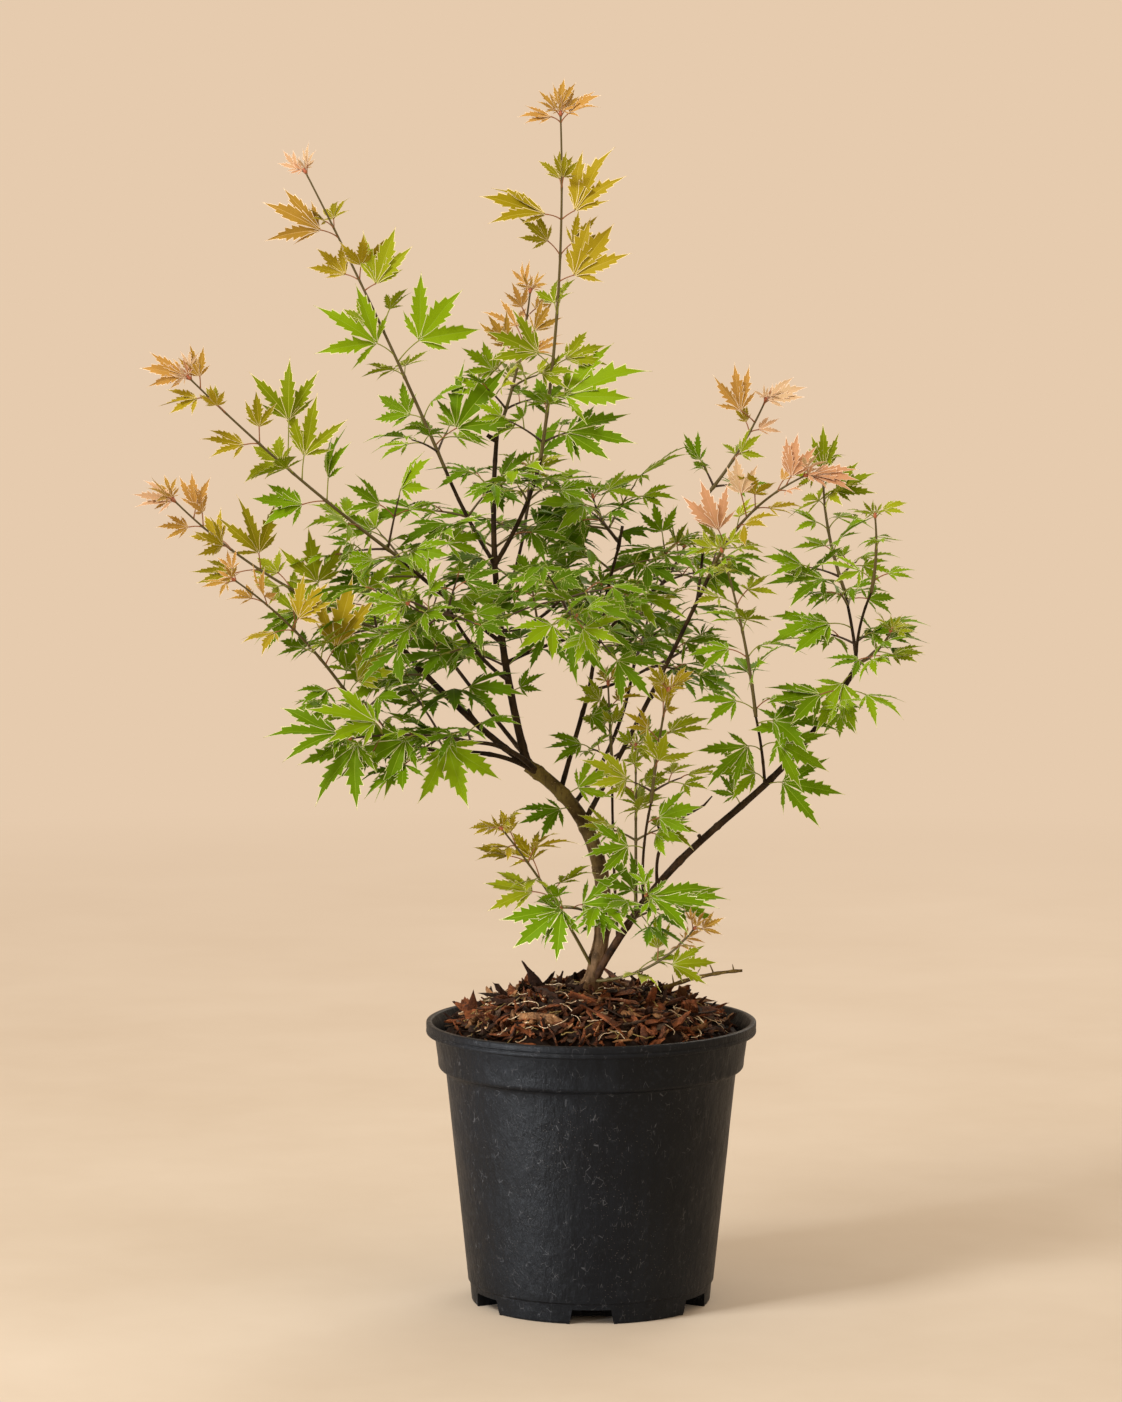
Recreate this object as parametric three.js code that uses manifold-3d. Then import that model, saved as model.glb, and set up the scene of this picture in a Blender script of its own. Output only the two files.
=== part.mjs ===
// A young palmate maple in a round nursery pot. Millimetres, +Z up, +X to the right, -Y to the front.
// The origin is the centre of the pot's flat underside.
import * as THREE from "three";
import { mergeVertices } from "three/addons/utils/BufferGeometryUtils.js";
import Module from "manifold-3d";

const wasm = await Module();
wasm.setup();
const { Manifold } = wasm;

// Clear gap between touching pieces.
const GAP = 0.3;

// Pot: a 250 mm round container with a collar, a rolled lip and six drainage notches in its foot.
const POT_RIM_RADIUS = 125;
const POT_HEIGHT = 214;
const POT_WALL = 2;
const COLLAR_RADIUS = 118.6;
const COLLAR_FOOT_RADIUS = 116;
const COLLAR_BOTTOM = 179;
const LIP_HEIGHT = 9;
const BODY_TOP_RADIUS = 110.2;
const BODY_FOOT_RADIUS = 93.3;
const FOOT_BAND_RADIUS = 91;
const FOOT_BAND_HEIGHT = 16;
const NOTCH_COUNT = 6;
const NOTCH_WIDTH = 32;
const NOTCH_HEIGHT = 11;
const NOTCH_INNER_RADIUS = 62;
const DRAIN_WIDTH = 14;
const DRAIN_HEIGHT = 5;
const POT_SEGMENTS = 30;

// Compost and the bark mulch that lies on it.
const COMPOST_TOP = 188;
const MULCH_EDGE = 204;
const MULCH_CROWN = 236;
const CHIP_COUNT = 20;
const CHIP_LENGTH = 32;

// Trunk foot: a flat cut at ground level, with a low flare.
const GROUND = 225;
const FLARE = 0.1;
const FLARE_LENGTH = 0.16;

// Leaf: the three main lobes. Each is its angle from the midrib and its length beside the middle lobe.
const LOBES = [[-58, 0.86], [0, 1], [58, 0.86]];
const SINUS = 0.32;
const LEAF_THICKNESS = 1.6;
const LEAF_DROOP = 0.14;
const PETIOLE_RADIUS = 0.6;
const PETIOLE_SHARE = 0.42;

// Limbs. Each springs from a parent at a share of the parent's length and ends at tip.
// bow is its sideways bend at the middle, sway its double bend, thick its two end radii.
const LIMBS = [
  { name: "trunk", at: [-7.5, 0, GROUND], tip: [-48, 6, 407],
    bow: [35, 0, 10], sway: [-1, 0, -3], thick: [6.9, 5.4] },
  { name: "bough_centre", on: "trunk", share: 1, tip: [-71, 22, 655],
    bow: [-11, 0, 0], thick: [3.4, 1.7] },
  { name: "bough_leader", on: "bough_centre", share: 0.61, tip: [-38, 0, 638],
    bow: [4, 0, 0], thick: [1.9, 1.5] },
  { name: "bough_upper_left", on: "bough_centre", share: 0.61, tip: [-110, 30, 629],
    bow: [-2, 0, 0], thick: [1.7, 1.4] },
  { name: "bough_long_left", on: "bough_centre", share: 0.37, tip: [-143, -40, 567],
    bow: [0, 0, -1], thick: [1.8, 1.5] },
  { name: "bough_left", on: "trunk", share: 0.985, tip: [-149, -30, 509],
    bow: [-4, 0, -3], thick: [2.9, 1.9] },
  { name: "bough_low_left", on: "trunk", share: 0.9, tip: [-164, -30, 436],
    bow: [2, 0, 4], sway: [1, 0, 5], thick: [2.1, 1.4] },
  { name: "bough_low_front", on: "trunk", share: 0.96, tip: [-87, -50, 430],
    bow: [2, -4, 6], thick: [2.3, 1.5] },
  { name: "bough_middle", on: "trunk", share: 0.85, tip: [-1, 30, 463],
    bow: [0, 3, 0], thick: [2.1, 1.8] },
  { name: "bough_middle_up", on: "bough_middle", share: 1, tip: [22, 45, 573],
    bow: [-2, 0, 0], thick: [1.6, 1.2] },
  { name: "bough_middle_right", on: "bough_middle", share: 0.98, tip: [43, 85, 473],
    bow: [0, 0, -2], thick: [1.4, 1.1] },
  { name: "bough_middle_high", on: "bough_middle_up", share: 0.28, tip: [53, 70, 538],
    bow: [-3, 0, 3], thick: [1.3, 1.1] },
  { name: "bough_right", on: "trunk", share: 0.7, tip: [87, -35, 552],
    bow: [2, 4, 0], thick: [2.2, 1.5] },
  { name: "bough_right_high", on: "bough_right", share: 0.9, tip: [87, 10, 611],
    bow: [1, 0, 0], thick: [1.2, 1.0] },
  { name: "stem_right", on: "trunk", share: 0.06, tip: [197, -70, 491],
    bow: [3, 0, 7], sway: [-4, 0, 8], thick: [3.4, 2.1] },
  { name: "bough_right_inner", on: "stem_right", share: 0.99, tip: [187, -50, 543],
    bow: [1, 0, 0], thick: [1.4, 1.1] },
  { name: "bough_right_outer", on: "stem_right", share: 0.985, tip: [203, -105, 545],
    bow: [-3, 0, 1], thick: [1.3, 1.0] },
  { name: "bough_riser_outer", on: "stem_right", share: 0.63, tip: [121, -70, 451],
    bow: [1, 0, 0], thick: [1.3, 1.0] },
  { name: "bough_riser_left", on: "stem_right", share: 0.12, tip: [16, 17, 405],
    bow: [-1, 3, 0], thick: [1.2, 1.0] },
  { name: "bough_riser_right", on: "stem_right", share: 0.22, tip: [44, -60, 386],
    bow: [-3, -3, 0], thick: [1.2, 1.0] },
  { name: "dead_twig", on: "stem_right", share: 0.27, tip: [77, 20, 370],
    bow: [-9, 2, 6], thick: [1.4, 0.9] },
  { name: "bough_centre_right", on: "bough_centre", share: 0.31, tip: [-11, 60, 500],
    bow: [0, 0, 2], thick: [1.7, 1.2] },
  { name: "bough_back_left", on: "trunk", share: 0.94, tip: [-112, 98, 484],
    bow: [6, 8, -10], thick: [2.2, 1.4] },
  { name: "bough_back_right", on: "trunk", share: 0.78, tip: [34, 112, 474],
    bow: [6, 10, -8], thick: [2.0, 1.3] },
  { name: "bough_back_centre", on: "bough_centre", share: 0.45, tip: [-52, 100, 574],
    bow: [0, 6, -6], thick: [1.7, 1.3] },
  { name: "bough_front_left", on: "bough_centre", share: 0.26, tip: [-104, -84, 530],
    bow: [0, -6, -6], thick: [1.7, 1.3] },
  { name: "bough_front_right", on: "bough_centre", share: 0.41, tip: [-22, -86, 540],
    bow: [0, -6, -6], thick: [1.6, 1.2] },
];

// Masses of foliage. Each stem starts at a limb's tip or side and ends at tip. It bears opposite pairs from
// the share first to its tip, the lowest of them, sprigs, as side twigs of length twig. ease above 1 widens
// the internodes upwards. leaf is a full blade's length and turn the first pair's angle round the stem.
const MASSES = [
  { name: "foliage_top", on: "bough_leader", share: 1, tip: [-23, -12, 893], bow: [6, 0, 0],
    pairs: 9, first: 0.05, ease: 1.35, sprigs: 1, twig: 28, leaf: 64, turn: 10 },
  { name: "foliage_crest", on: "bough_centre", share: 1, tip: [-46, 24, 762], bow: [3, 0, -2],
    pairs: 6, first: 0.2, ease: 1, sprigs: 2, twig: 24, leaf: 44, turn: 40 },
  { name: "foliage_upper_left", on: "bough_upper_left", share: 1, tip: [-215, 45, 852], bow: [2, 0, 1],
    pairs: 8, first: 0.06, ease: 1.2, sprigs: 1, twig: 30, leaf: 54, turn: 60 },
  { name: "foliage_long_left", on: "bough_long_left", share: 1, tip: [-292, -95, 700], bow: [-3, 0, -2],
    pairs: 7, first: 0.05, ease: 1.1, sprigs: 1, twig: 36, leaf: 54, turn: 75 },
  { name: "foliage_left", on: "bough_left", share: 1, tip: [-306, -70, 610], bow: [-7, 0, -8],
    pairs: 8, first: 0.06, ease: 1.1, sprigs: 1, twig: 34, leaf: 50, turn: 70 },
  { name: "foliage_low_left", on: "bough_low_left", share: 1, tip: [-262, -74, 552], bow: [4, 0, 8],
    pairs: 6, first: 0.08, ease: 1.1, sprigs: 1, twig: 28, leaf: 52, turn: 20 },
  { name: "foliage_low_front", on: "bough_low_front", share: 1, tip: [-176, -88, 437], bow: [0, 0, 4],
    pairs: 5, first: 0.03, ease: 1, sprigs: 3, twig: 36, leaf: 54, turn: 15 },
  { name: "foliage_middle_up", on: "bough_middle_up", share: 1, tip: [2, 56, 606], bow: [-3, 0, 0],
    pairs: 5, first: 0.08, ease: 1, sprigs: 2, twig: 40, leaf: 48, turn: 20 },
  { name: "foliage_middle_right", on: "bough_middle_right", share: 1, tip: [84, 112, 494], bow: [0, 0, -2],
    pairs: 4, first: 0.15, ease: 1, sprigs: 1, twig: 30, leaf: 42, turn: 50 },
  { name: "foliage_middle_high", on: "bough_middle_high", share: 1, tip: [72, 94, 566], bow: [0, 0, -2],
    pairs: 5, first: 0.12, ease: 1, sprigs: 2, twig: 34, leaf: 48, turn: 0 },
  { name: "foliage_right", on: "bough_right", share: 1, tip: [156, -60, 628], bow: [-7, 0, 7],
    pairs: 7, first: 0.05, ease: 1.1, sprigs: 1, twig: 28, leaf: 46, turn: 35 },
  { name: "foliage_right_high", on: "bough_right_high", share: 1, tip: [131, 30, 680], bow: [2, 0, -2],
    pairs: 5, first: 0.1, ease: 1, sprigs: 1, twig: 22, leaf: 40, turn: 80 },
  { name: "foliage_outer", on: "stem_right", share: 1, tip: [218, -90, 515], bow: [2, 0, -2],
    pairs: 4, first: 0.2, ease: 1, sprigs: 1, twig: 20, leaf: 36, turn: 30 },
  { name: "foliage_right_inner", on: "bough_right_inner", share: 1, tip: [172, -36, 636], bow: [-5, 0, 2],
    pairs: 7, first: 0.1, ease: 1, sprigs: 1, twig: 22, leaf: 42, turn: 25 },
  { name: "foliage_right_outer", on: "bough_right_outer", share: 1, tip: [205, -114, 600], bow: [2, 0, 0],
    pairs: 3, first: 0.15, ease: 1, sprigs: 0, twig: 24, leaf: 36, turn: 5 },
  { name: "foliage_hanging", on: "stem_right", share: 0.93, tip: [184, -84, 464], bow: [0, 0, 4],
    pairs: 2, first: 0.6, ease: 1, sprigs: 0, twig: 0, leaf: 48, turn: 0 },
  { name: "foliage_riser_outer", on: "bough_riser_outer", share: 1, tip: [96, -66, 572], bow: [3, 0, 0],
    pairs: 7, first: 0.04, ease: 1, sprigs: 0, twig: 22, leaf: 46, turn: 15 },
  { name: "foliage_riser_left", on: "bough_riser_left", share: 1, tip: [13, 22, 466], bow: [0, 0, 0],
    pairs: 4, first: 0.1, ease: 1, sprigs: 1, twig: 20, leaf: 38, turn: 20 },
  { name: "foliage_riser_mid", on: "stem_right", share: 0.19, tip: [33, -34, 424], bow: [0, -4, 0],
    pairs: 5, first: 0.45, ease: 1, sprigs: 1, twig: 20, leaf: 40, turn: 0 },
  { name: "foliage_riser_right", on: "bough_riser_right", share: 1, tip: [56, -76, 470], bow: [-1, 0, 0],
    pairs: 5, first: 0.1, ease: 1, sprigs: 1, twig: 22, leaf: 42, turn: 20 },
  { name: "foliage_sucker", on: "trunk", share: 0.13, tip: [-66, -60, 366], bow: [2, 0, 3],
    pairs: 5, first: 0.5, ease: 1, sprigs: 0, twig: 0, leaf: 44, turn: 35 },
  { name: "foliage_low_centre", on: "trunk", share: 0.3, tip: [-22, -48, 306], bow: [4, 0, 4],
    pairs: 2, first: 0.6, ease: 1, sprigs: 0, twig: 0, leaf: 56, turn: 0 },
  { name: "foliage_low_right", on: "stem_right", share: 0.16, tip: [40, -58, 316], bow: [0, 0, -3],
    pairs: 4, first: 0.35, ease: 1, sprigs: 1, twig: 28, leaf: 50, turn: 10 },
  { name: "foliage_foot", on: "stem_right", share: 0.02, tip: [76, -50, 290], bow: [4, -6, -8],
    pairs: 4, first: 0.4, ease: 1, sprigs: 0, twig: 0, leaf: 32, turn: 60 },
  { name: "foliage_centre_right", on: "bough_centre_right", share: 1, tip: [8, 84, 536], bow: [4, 0, -4],
    pairs: 5, first: 0.1, ease: 1, sprigs: 2, twig: 38, leaf: 50, turn: 70 },
  { name: "foliage_back_left", on: "bough_back_left", share: 1, tip: [-172, 168, 524], bow: [0, 4, -4],
    pairs: 5, first: 0.06, ease: 1, sprigs: 2, twig: 42, leaf: 50, turn: 30 },
  { name: "foliage_back_right", on: "bough_back_right", share: 1, tip: [50, 180, 522], bow: [0, 4, -4],
    pairs: 5, first: 0.06, ease: 1, sprigs: 2, twig: 46, leaf: 52, turn: 50 },
  { name: "foliage_back_centre", on: "bough_back_centre", share: 1, tip: [-47, 166, 624], bow: [0, 4, -6],
    pairs: 5, first: 0.06, ease: 1, sprigs: 2, twig: 42, leaf: 50, turn: 10 },
  { name: "foliage_front_left", on: "bough_front_left", share: 1, tip: [-132, -152, 540], bow: [0, -4, -4],
    pairs: 5, first: 0.06, ease: 1, sprigs: 2, twig: 44, leaf: 46, turn: 65 },
  { name: "foliage_front_right", on: "bough_front_right", share: 1, tip: [-12, -152, 532], bow: [0, -4, -4],
    pairs: 5, first: 0.06, ease: 1, sprigs: 2, twig: 44, leaf: 46, turn: 25 },
];

const STEM_RADIUS = 1.5;
const STEM_TIP_RADIUS = 1.2;
const TWIG_RADIUS = 0.9;
// Leaves face up, a little out from the crown and towards the brighter front.
const LIGHT = new THREE.Vector3(-0.25, -0.45, 0.85);
const UP = new THREE.Vector3(0, 0, 1);
const FIRST_SEED = 1000;

const radians = THREE.MathUtils.degToRad;
const vector = (list) => new THREE.Vector3(...list);

// A seeded stream of numbers from 0 to 1, the same on every run.
function seeded(seed) {
  let state = seed >>> 0;
  return () => {
    state = (state + 0x6d2b79f5) >>> 0;
    let mixed = Math.imul(state ^ (state >>> 15), state | 1);
    mixed ^= mixed + Math.imul(mixed ^ (mixed >>> 7), mixed | 61);
    return ((mixed ^ (mixed >>> 14)) >>> 0) / 4294967296;
  };
}

// A closed geometry as a solid, with its shared vertices merged and its faces turned out.
function solidOf(geometry) {
  geometry.deleteAttribute("normal");
  geometry.deleteAttribute("uv");
  const merged = mergeVertices(geometry, 1e-4);
  const index = merged.index.array;
  const corners = [];
  for (let i = 0; i < index.length; i += 3) {
    const [a, b, c] = [index[i], index[i + 1], index[i + 2]];
    if (a !== b && b !== c && c !== a) {
      corners.push(a, b, c);
    }
  }
  const vertProperties = new Float32Array(merged.attributes.position.array);
  const close = (order) => {
    const triVerts = new Uint32Array(order);
    return new Manifold(new wasm.Mesh({ numProp: 3, vertProperties, triVerts }));
  };
  const solid = close(corners);
  return solid.volume() > 0 ? solid : close(corners.reverse());
}

// The largest closed body of a cut or joined solid: scraps and sealed hollows are left out.
function mainBody(solid) {
  const bodies = solid.decompose();
  return bodies.reduce((best, body) => (body.volume() > best.volume() ? body : best));
}

function meshOf(name, solid, material) {
  const shape = solid.getMesh();
  const geometry = new THREE.BufferGeometry();
  geometry.setAttribute("position", new THREE.BufferAttribute(Float32Array.from(shape.vertProperties), 3));
  geometry.setIndex(new THREE.BufferAttribute(Uint32Array.from(shape.triVerts), 1));
  geometry.computeVertexNormals();
  const mesh = new THREE.Mesh(geometry, material);
  mesh.name = name;
  return mesh;
}

function finish(color, roughness) {
  return new THREE.MeshStandardMaterial({ color, roughness, metalness: 0 });
}

// Pot, compost and mulch.

function turned(profile, segments) {
  const points = profile.map(([radius, height]) => new THREE.Vector2(radius, height));
  const geometry = new THREE.LatheGeometry(points, segments);
  geometry.rotateX(Math.PI / 2);
  return solidOf(geometry);
}

// A block from NOTCH_INNER_RADIUS outwards over one notch, larger all round by grow.
function notchBlock(turn, grow, outer) {
  const length = outer - NOTCH_INNER_RADIUS + grow;
  const below = 5;
  const height = NOTCH_HEIGHT + grow + below;
  const block = new THREE.BoxGeometry(length, NOTCH_WIDTH + 2 * grow, height);
  block.translate(NOTCH_INNER_RADIUS - grow + length / 2, 0, NOTCH_HEIGHT + grow - height / 2);
  block.rotateZ(turn);
  return solidOf(block);
}

function overNotches(make) {
  const first = -Math.PI / 2;
  return Array.from({ length: NOTCH_COUNT }, (_, i) => make(first + (i * 2 * Math.PI) / NOTCH_COUNT));
}

function innerRadius(height) {
  const share = (height - FOOT_BAND_HEIGHT) / (COLLAR_BOTTOM - FOOT_BAND_HEIGHT);
  return BODY_FOOT_RADIUS + (BODY_TOP_RADIUS - BODY_FOOT_RADIUS) * share - POT_WALL;
}

function makePot() {
  const lipBottom = POT_HEIGHT - LIP_HEIGHT;
  const shell = turned([
    [0, 0],
    [FOOT_BAND_RADIUS - 2, 0],
    [FOOT_BAND_RADIUS - 0.5, 0.8],
    [FOOT_BAND_RADIUS, 2.4],
    [FOOT_BAND_RADIUS + 1, FOOT_BAND_HEIGHT - 0.8],
    [BODY_FOOT_RADIUS, FOOT_BAND_HEIGHT],
    [BODY_TOP_RADIUS, COLLAR_BOTTOM - 2],
    [COLLAR_FOOT_RADIUS - 2.5, COLLAR_BOTTOM - 0.5],
    [COLLAR_FOOT_RADIUS - 0.6, COLLAR_BOTTOM + 1.5],
    [COLLAR_FOOT_RADIUS, COLLAR_BOTTOM + 4],
    [COLLAR_RADIUS, lipBottom - 1],
    [POT_RIM_RADIUS - 1.5, lipBottom],
    [POT_RIM_RADIUS, lipBottom + 1.6],
    [POT_RIM_RADIUS, POT_HEIGHT - 1.8],
    [POT_RIM_RADIUS - 1.6, POT_HEIGHT],
    [POT_RIM_RADIUS - 3.2, POT_HEIGHT],
    [POT_RIM_RADIUS - 4.2, POT_HEIGHT - 1.4],
    [COLLAR_RADIUS - POT_WALL, lipBottom - 2],
    [COLLAR_FOOT_RADIUS - POT_WALL, COLLAR_BOTTOM + 5],
    [BODY_TOP_RADIUS - POT_WALL, COLLAR_BOTTOM + 1],
    [innerRadius(FOOT_BAND_HEIGHT + 2), FOOT_BAND_HEIGHT + 2],
    [FOOT_BAND_RADIUS - POT_WALL - 1, 2.4],
    [0, 2.4],
  ], POT_SEGMENTS);
  const core = turned([
    [0, -10],
    [FOOT_BAND_RADIUS - 0.6, -10],
    [FOOT_BAND_RADIUS - 0.6, 40],
    [0, 40],
  ], POT_SEGMENTS);
  const tunnels = overNotches((turn) => notchBlock(turn, POT_WALL, BODY_FOOT_RADIUS).intersect(core));
  const cleanFloor = new THREE.BoxGeometry(300, 300, 20);
  cleanFloor.translate(0, 0, -10);
  const notches = overNotches((turn) => notchBlock(turn, 0, POT_RIM_RADIUS));
  const drains = overNotches((turn) => {
    const drain = new THREE.BoxGeometry(12, DRAIN_WIDTH, DRAIN_HEIGHT);
    drain.translate(NOTCH_INNER_RADIUS, 0, NOTCH_HEIGHT / 2);
    drain.rotateZ(turn);
    return solidOf(drain);
  });
  const walled = Manifold.union([shell, ...tunnels]).subtract(solidOf(cleanFloor));
  return mainBody(walled.subtract(Manifold.union([...notches, ...drains])));
}

function makeCompost() {
  const floor = 2.4 + GAP;
  const narrow = FOOT_BAND_RADIUS - POT_WALL - 1 - 2 * GAP;
  const body = turned([
    [0, floor],
    [narrow, floor],
    [innerRadius(FOOT_BAND_HEIGHT + 2) - 2 * GAP, FOOT_BAND_HEIGHT + 2],
    [BODY_TOP_RADIUS - POT_WALL - 2 * GAP, COLLAR_BOTTOM + 1],
    [BODY_TOP_RADIUS + 1, COLLAR_BOTTOM + 4],
    [BODY_TOP_RADIUS + 2.5, COMPOST_TOP],
    [0, COMPOST_TOP],
  ], POT_SEGMENTS);
  const tunnels = overNotches((turn) => notchBlock(turn, POT_WALL + GAP, POT_RIM_RADIUS));
  return mainBody(body.subtract(Manifold.union(tunnels)));
}

function mulchHeight(radius, edge) {
  const share = Math.min(radius / edge, 1);
  return MULCH_CROWN - (MULCH_CROWN - MULCH_EDGE) * share ** 2.4;
}

function makeMulch(trunkGuard) {
  const edge = COLLAR_FOOT_RADIUS - POT_WALL - GAP - 0.2;
  const rings = 4;
  const profile = [[0, COMPOST_TOP + GAP], [edge - 3, COMPOST_TOP + GAP], [edge, COMPOST_TOP + 4]];
  for (let i = rings; i >= 0; i -= 1) {
    const radius = (edge * i) / rings;
    profile.push([radius, mulchHeight(radius, edge)]);
  }
  const random = seeded(71);
  const pieces = [turned(profile, 18)];
  for (let i = 0; i < CHIP_COUNT; i += 1) {
    const length = CHIP_LENGTH * (0.6 + 0.8 * random());
    const chip = new THREE.BoxGeometry(length, length * (0.3 + 0.3 * random()), 2.5 + 3 * random());
    const radius = (edge - length * 0.62) * Math.sqrt((i + 0.5) / CHIP_COUNT);
    const turn = i * 2.39996;
    chip.rotateX((random() - 0.5) * 0.9);
    chip.rotateY((random() - 0.5) * 0.8);
    chip.rotateZ(random() * Math.PI);
    chip.translate(radius * Math.cos(turn), radius * Math.sin(turn), mulchHeight(radius, edge) + 0.6);
    pieces.push(solidOf(chip));
  }
  const stick = { at: [50, 12, 226], tip: [115, 10, 249], bow: [0, 0, 6], thick: [1.6, 1.2] };
  pieces.push(tube(limbCurve(stick), stick.thick, 5, 4));
  return mainBody(Manifold.union(pieces).subtract(trunkGuard));
}

// Limbs and twigs.

class LimbCurve extends THREE.Curve {
  constructor(at, tip, bow, sway) {
    super();
    Object.assign(this, { at, tip, bow, sway });
  }

  getPoint(share, target = new THREE.Vector3()) {
    return target
      .lerpVectors(this.at, this.tip, share)
      .addScaledVector(this.bow, 4 * share * (1 - share))
      .addScaledVector(this.sway, Math.sin(2 * Math.PI * share));
  }

  // The direction of growth at a share of the length.
  along(share) {
    const step = 0.01;
    const before = this.getPoint(Math.max(share - step, 0));
    return this.getPoint(Math.min(share + step, 1)).sub(before).normalize();
  }
}

function limbCurve({ at, tip, bow = [0, 0, 0], sway = [0, 0, 0] }) {
  return new LimbCurve(vector(at), vector(tip), vector(bow), vector(sway));
}

// A closed tapering tube along a curve, fatter and longer by grow. flare widens its foot.
function tube(curve, thick, sides, steps, grow = 0, flare = 0) {
  const geometry = new THREE.CylinderGeometry(1, 1, 1, sides, steps);
  const spots = geometry.attributes.position;
  const aside = Math.abs(curve.along(0.5).y) < 0.8 ? new THREE.Vector3(0, 1, 0) : new THREE.Vector3(1, 0, 0);
  for (let i = 0; i < spots.count; i += 1) {
    const share = spots.getY(i) + 0.5;
    const along = curve.along(share);
    const across = new THREE.Vector3().crossVectors(aside, along).normalize();
    const third = new THREE.Vector3().crossVectors(across, along);
    const swell = 1 + flare * Math.max(1 - share / FLARE_LENGTH, 0) ** 2;
    const radius = THREE.MathUtils.lerp(thick[0], thick[1], share) * swell + grow;
    const point = curve.getPoint(share);
    point.addScaledVector(across, spots.getX(i) * radius);
    point.addScaledVector(third, spots.getZ(i) * radius);
    point.addScaledVector(along, share < 1e-6 ? -grow : 0);
    point.addScaledVector(along, share > 1 - 1e-6 ? grow : 0);
    spots.setXYZ(i, point.x, point.y, point.z);
  }
  return solidOf(geometry);
}

function limbSides(name) {
  return name === "trunk" ? [10, 9] : name === "stem_right" ? [6, 8] : [5, 3];
}

const curves = {};
const limbs = {};
const guards = {};

function growLimbs() {
  const grow = GAP / Math.cos(Math.PI / 5);
  for (const row of LIMBS) {
    const at = row.on ? curves[row.on].getPoint(row.share).toArray() : row.at;
    const curve = limbCurve({ ...row, at });
    const [sides, steps] = limbSides(row.name);
    const flare = row.name === "trunk" ? FLARE : 0;
    let solid = tube(curve, row.thick, sides, steps, 0, flare);
    const guard = tube(curve, row.thick, sides, steps, grow, flare);
    if (row.name === "trunk") {
      const below = new THREE.BoxGeometry(100, 100, 40);
      below.translate(0, 0, GROUND - 20);
      solid = solid.subtract(solidOf(below));
    }
    for (const [other, otherGuard] of Object.entries(guards)) {
      if (solid.minGap(limbs[other], GAP) < GAP) {
        solid = mainBody(solid.subtract(otherGuard));
      }
    }
    curves[row.name] = curve;
    limbs[row.name] = mainBody(solid);
    guards[row.name] = guard;
  }
}

// Leaves.

// A petiole and a lobed blade as one closed body. midrib and face are the blade's own directions.
function leafSolid(foot, base, midrib, face, length, radius) {
  const across = new THREE.Vector3().crossVectors(midrib, face).normalize();
  const normal = new THREE.Vector3().crossVectors(across, midrib).normalize();
  const stalk = new THREE.Vector3().subVectors(base, foot).normalize();
  const side = new THREE.Vector3().crossVectors(stalk, normal).normalize();
  const rise = new THREE.Vector3().crossVectors(side, stalk).normalize();
  const points = [];
  const put = (point) => points.push(point) - 1;
  const ring = (centre) => [90, 210, 330].map((angle) => put(centre.clone()
    .addScaledVector(side, Math.cos(radians(angle)) * radius)
    .addScaledVector(rise, Math.sin(radians(angle)) * radius)));
  const onBlade = (angle, reach) => put(base.clone()
    .addScaledVector(midrib, Math.cos(radians(angle)) * reach * length)
    .addScaledVector(across, Math.sin(radians(angle)) * reach * length)
    .addScaledVector(normal, -LEAF_DROOP * length * reach * reach));
  const footRing = ring(foot);
  const [top, left, right] = ring(base);
  const rim = [];
  LOBES.forEach(([angle, reach], i) => {
    rim.push(onBlade(angle, reach));
    if (i + 1 < LOBES.length) {
      rim.push(onBlade((angle + LOBES[i + 1][0]) / 2, SINUS));
    }
  });
  const middle = base.clone().addScaledVector(midrib, 0.16 * length);
  const above = put(middle.clone().addScaledVector(normal, LEAF_THICKNESS / 2));
  const under = put(middle.clone().addScaledVector(normal, -LEAF_THICKNESS / 2));
  const chain = [left, ...rim, right];
  const faces = [
    [footRing[0], footRing[2], footRing[1]],
    [above, top, left],
    [above, right, top],
    [under, left, right],
  ];
  for (let i = 0; i + 1 < chain.length; i += 1) {
    faces.push([above, chain[i], chain[i + 1]], [under, chain[i + 1], chain[i]]);
  }
  const baseRing = [top, left, right];
  for (let i = 0; i < 3; i += 1) {
    const next = (i + 1) % 3;
    faces.push([footRing[i], footRing[next], baseRing[next]], [footRing[i], baseRing[next], baseRing[i]]);
  }
  const geometry = new THREE.BufferGeometry().setFromPoints(points);
  geometry.setIndex(faces.flat());
  return solidOf(geometry);
}

// The direction away from a stem that grows along, at angle round it.
function outward(along, angle) {
  const level = Math.abs(along.z) < 0.9 ? UP : new THREE.Vector3(0, 1, 0);
  return new THREE.Vector3().crossVectors(along, level).normalize().applyAxisAngle(along, angle);
}

// A leaf whose stalk springs from foot towards heading and is reach long.
function leafOn(foot, heading, reach, length, radius, random) {
  const root = foot.clone().addScaledVector(heading, 0.5 * radius);
  const base = foot.clone().addScaledVector(heading, reach);
  const midrib = heading.clone();
  midrib.z = midrib.z * 0.5 - 0.12 + 0.3 * (random() - 0.5);
  midrib.normalize();
  const face = LIGHT.clone().addScaledVector(heading, 0.35);
  face.x += 0.7 * (random() - 0.5);
  face.y += 0.7 * (random() - 0.5);
  return leafSolid(root, base, midrib, face, length * (0.85 + 0.3 * random()), radius);
}

function touches(solid, others) {
  const box = solid.boundingBox();
  return others.some((other) => {
    const apart = (k) => Math.max(box.min[k] - other.box.max[k], other.box.min[k] - box.max[k]);
    const near = [0, 1, 2].every((k) => apart(k) < GAP);
    return near && solid.minGap(other.solid, 2 * GAP) < GAP;
  });
}

const boxed = (name, solid) => ({ name, solid, box: solid.boundingBox() });

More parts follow.
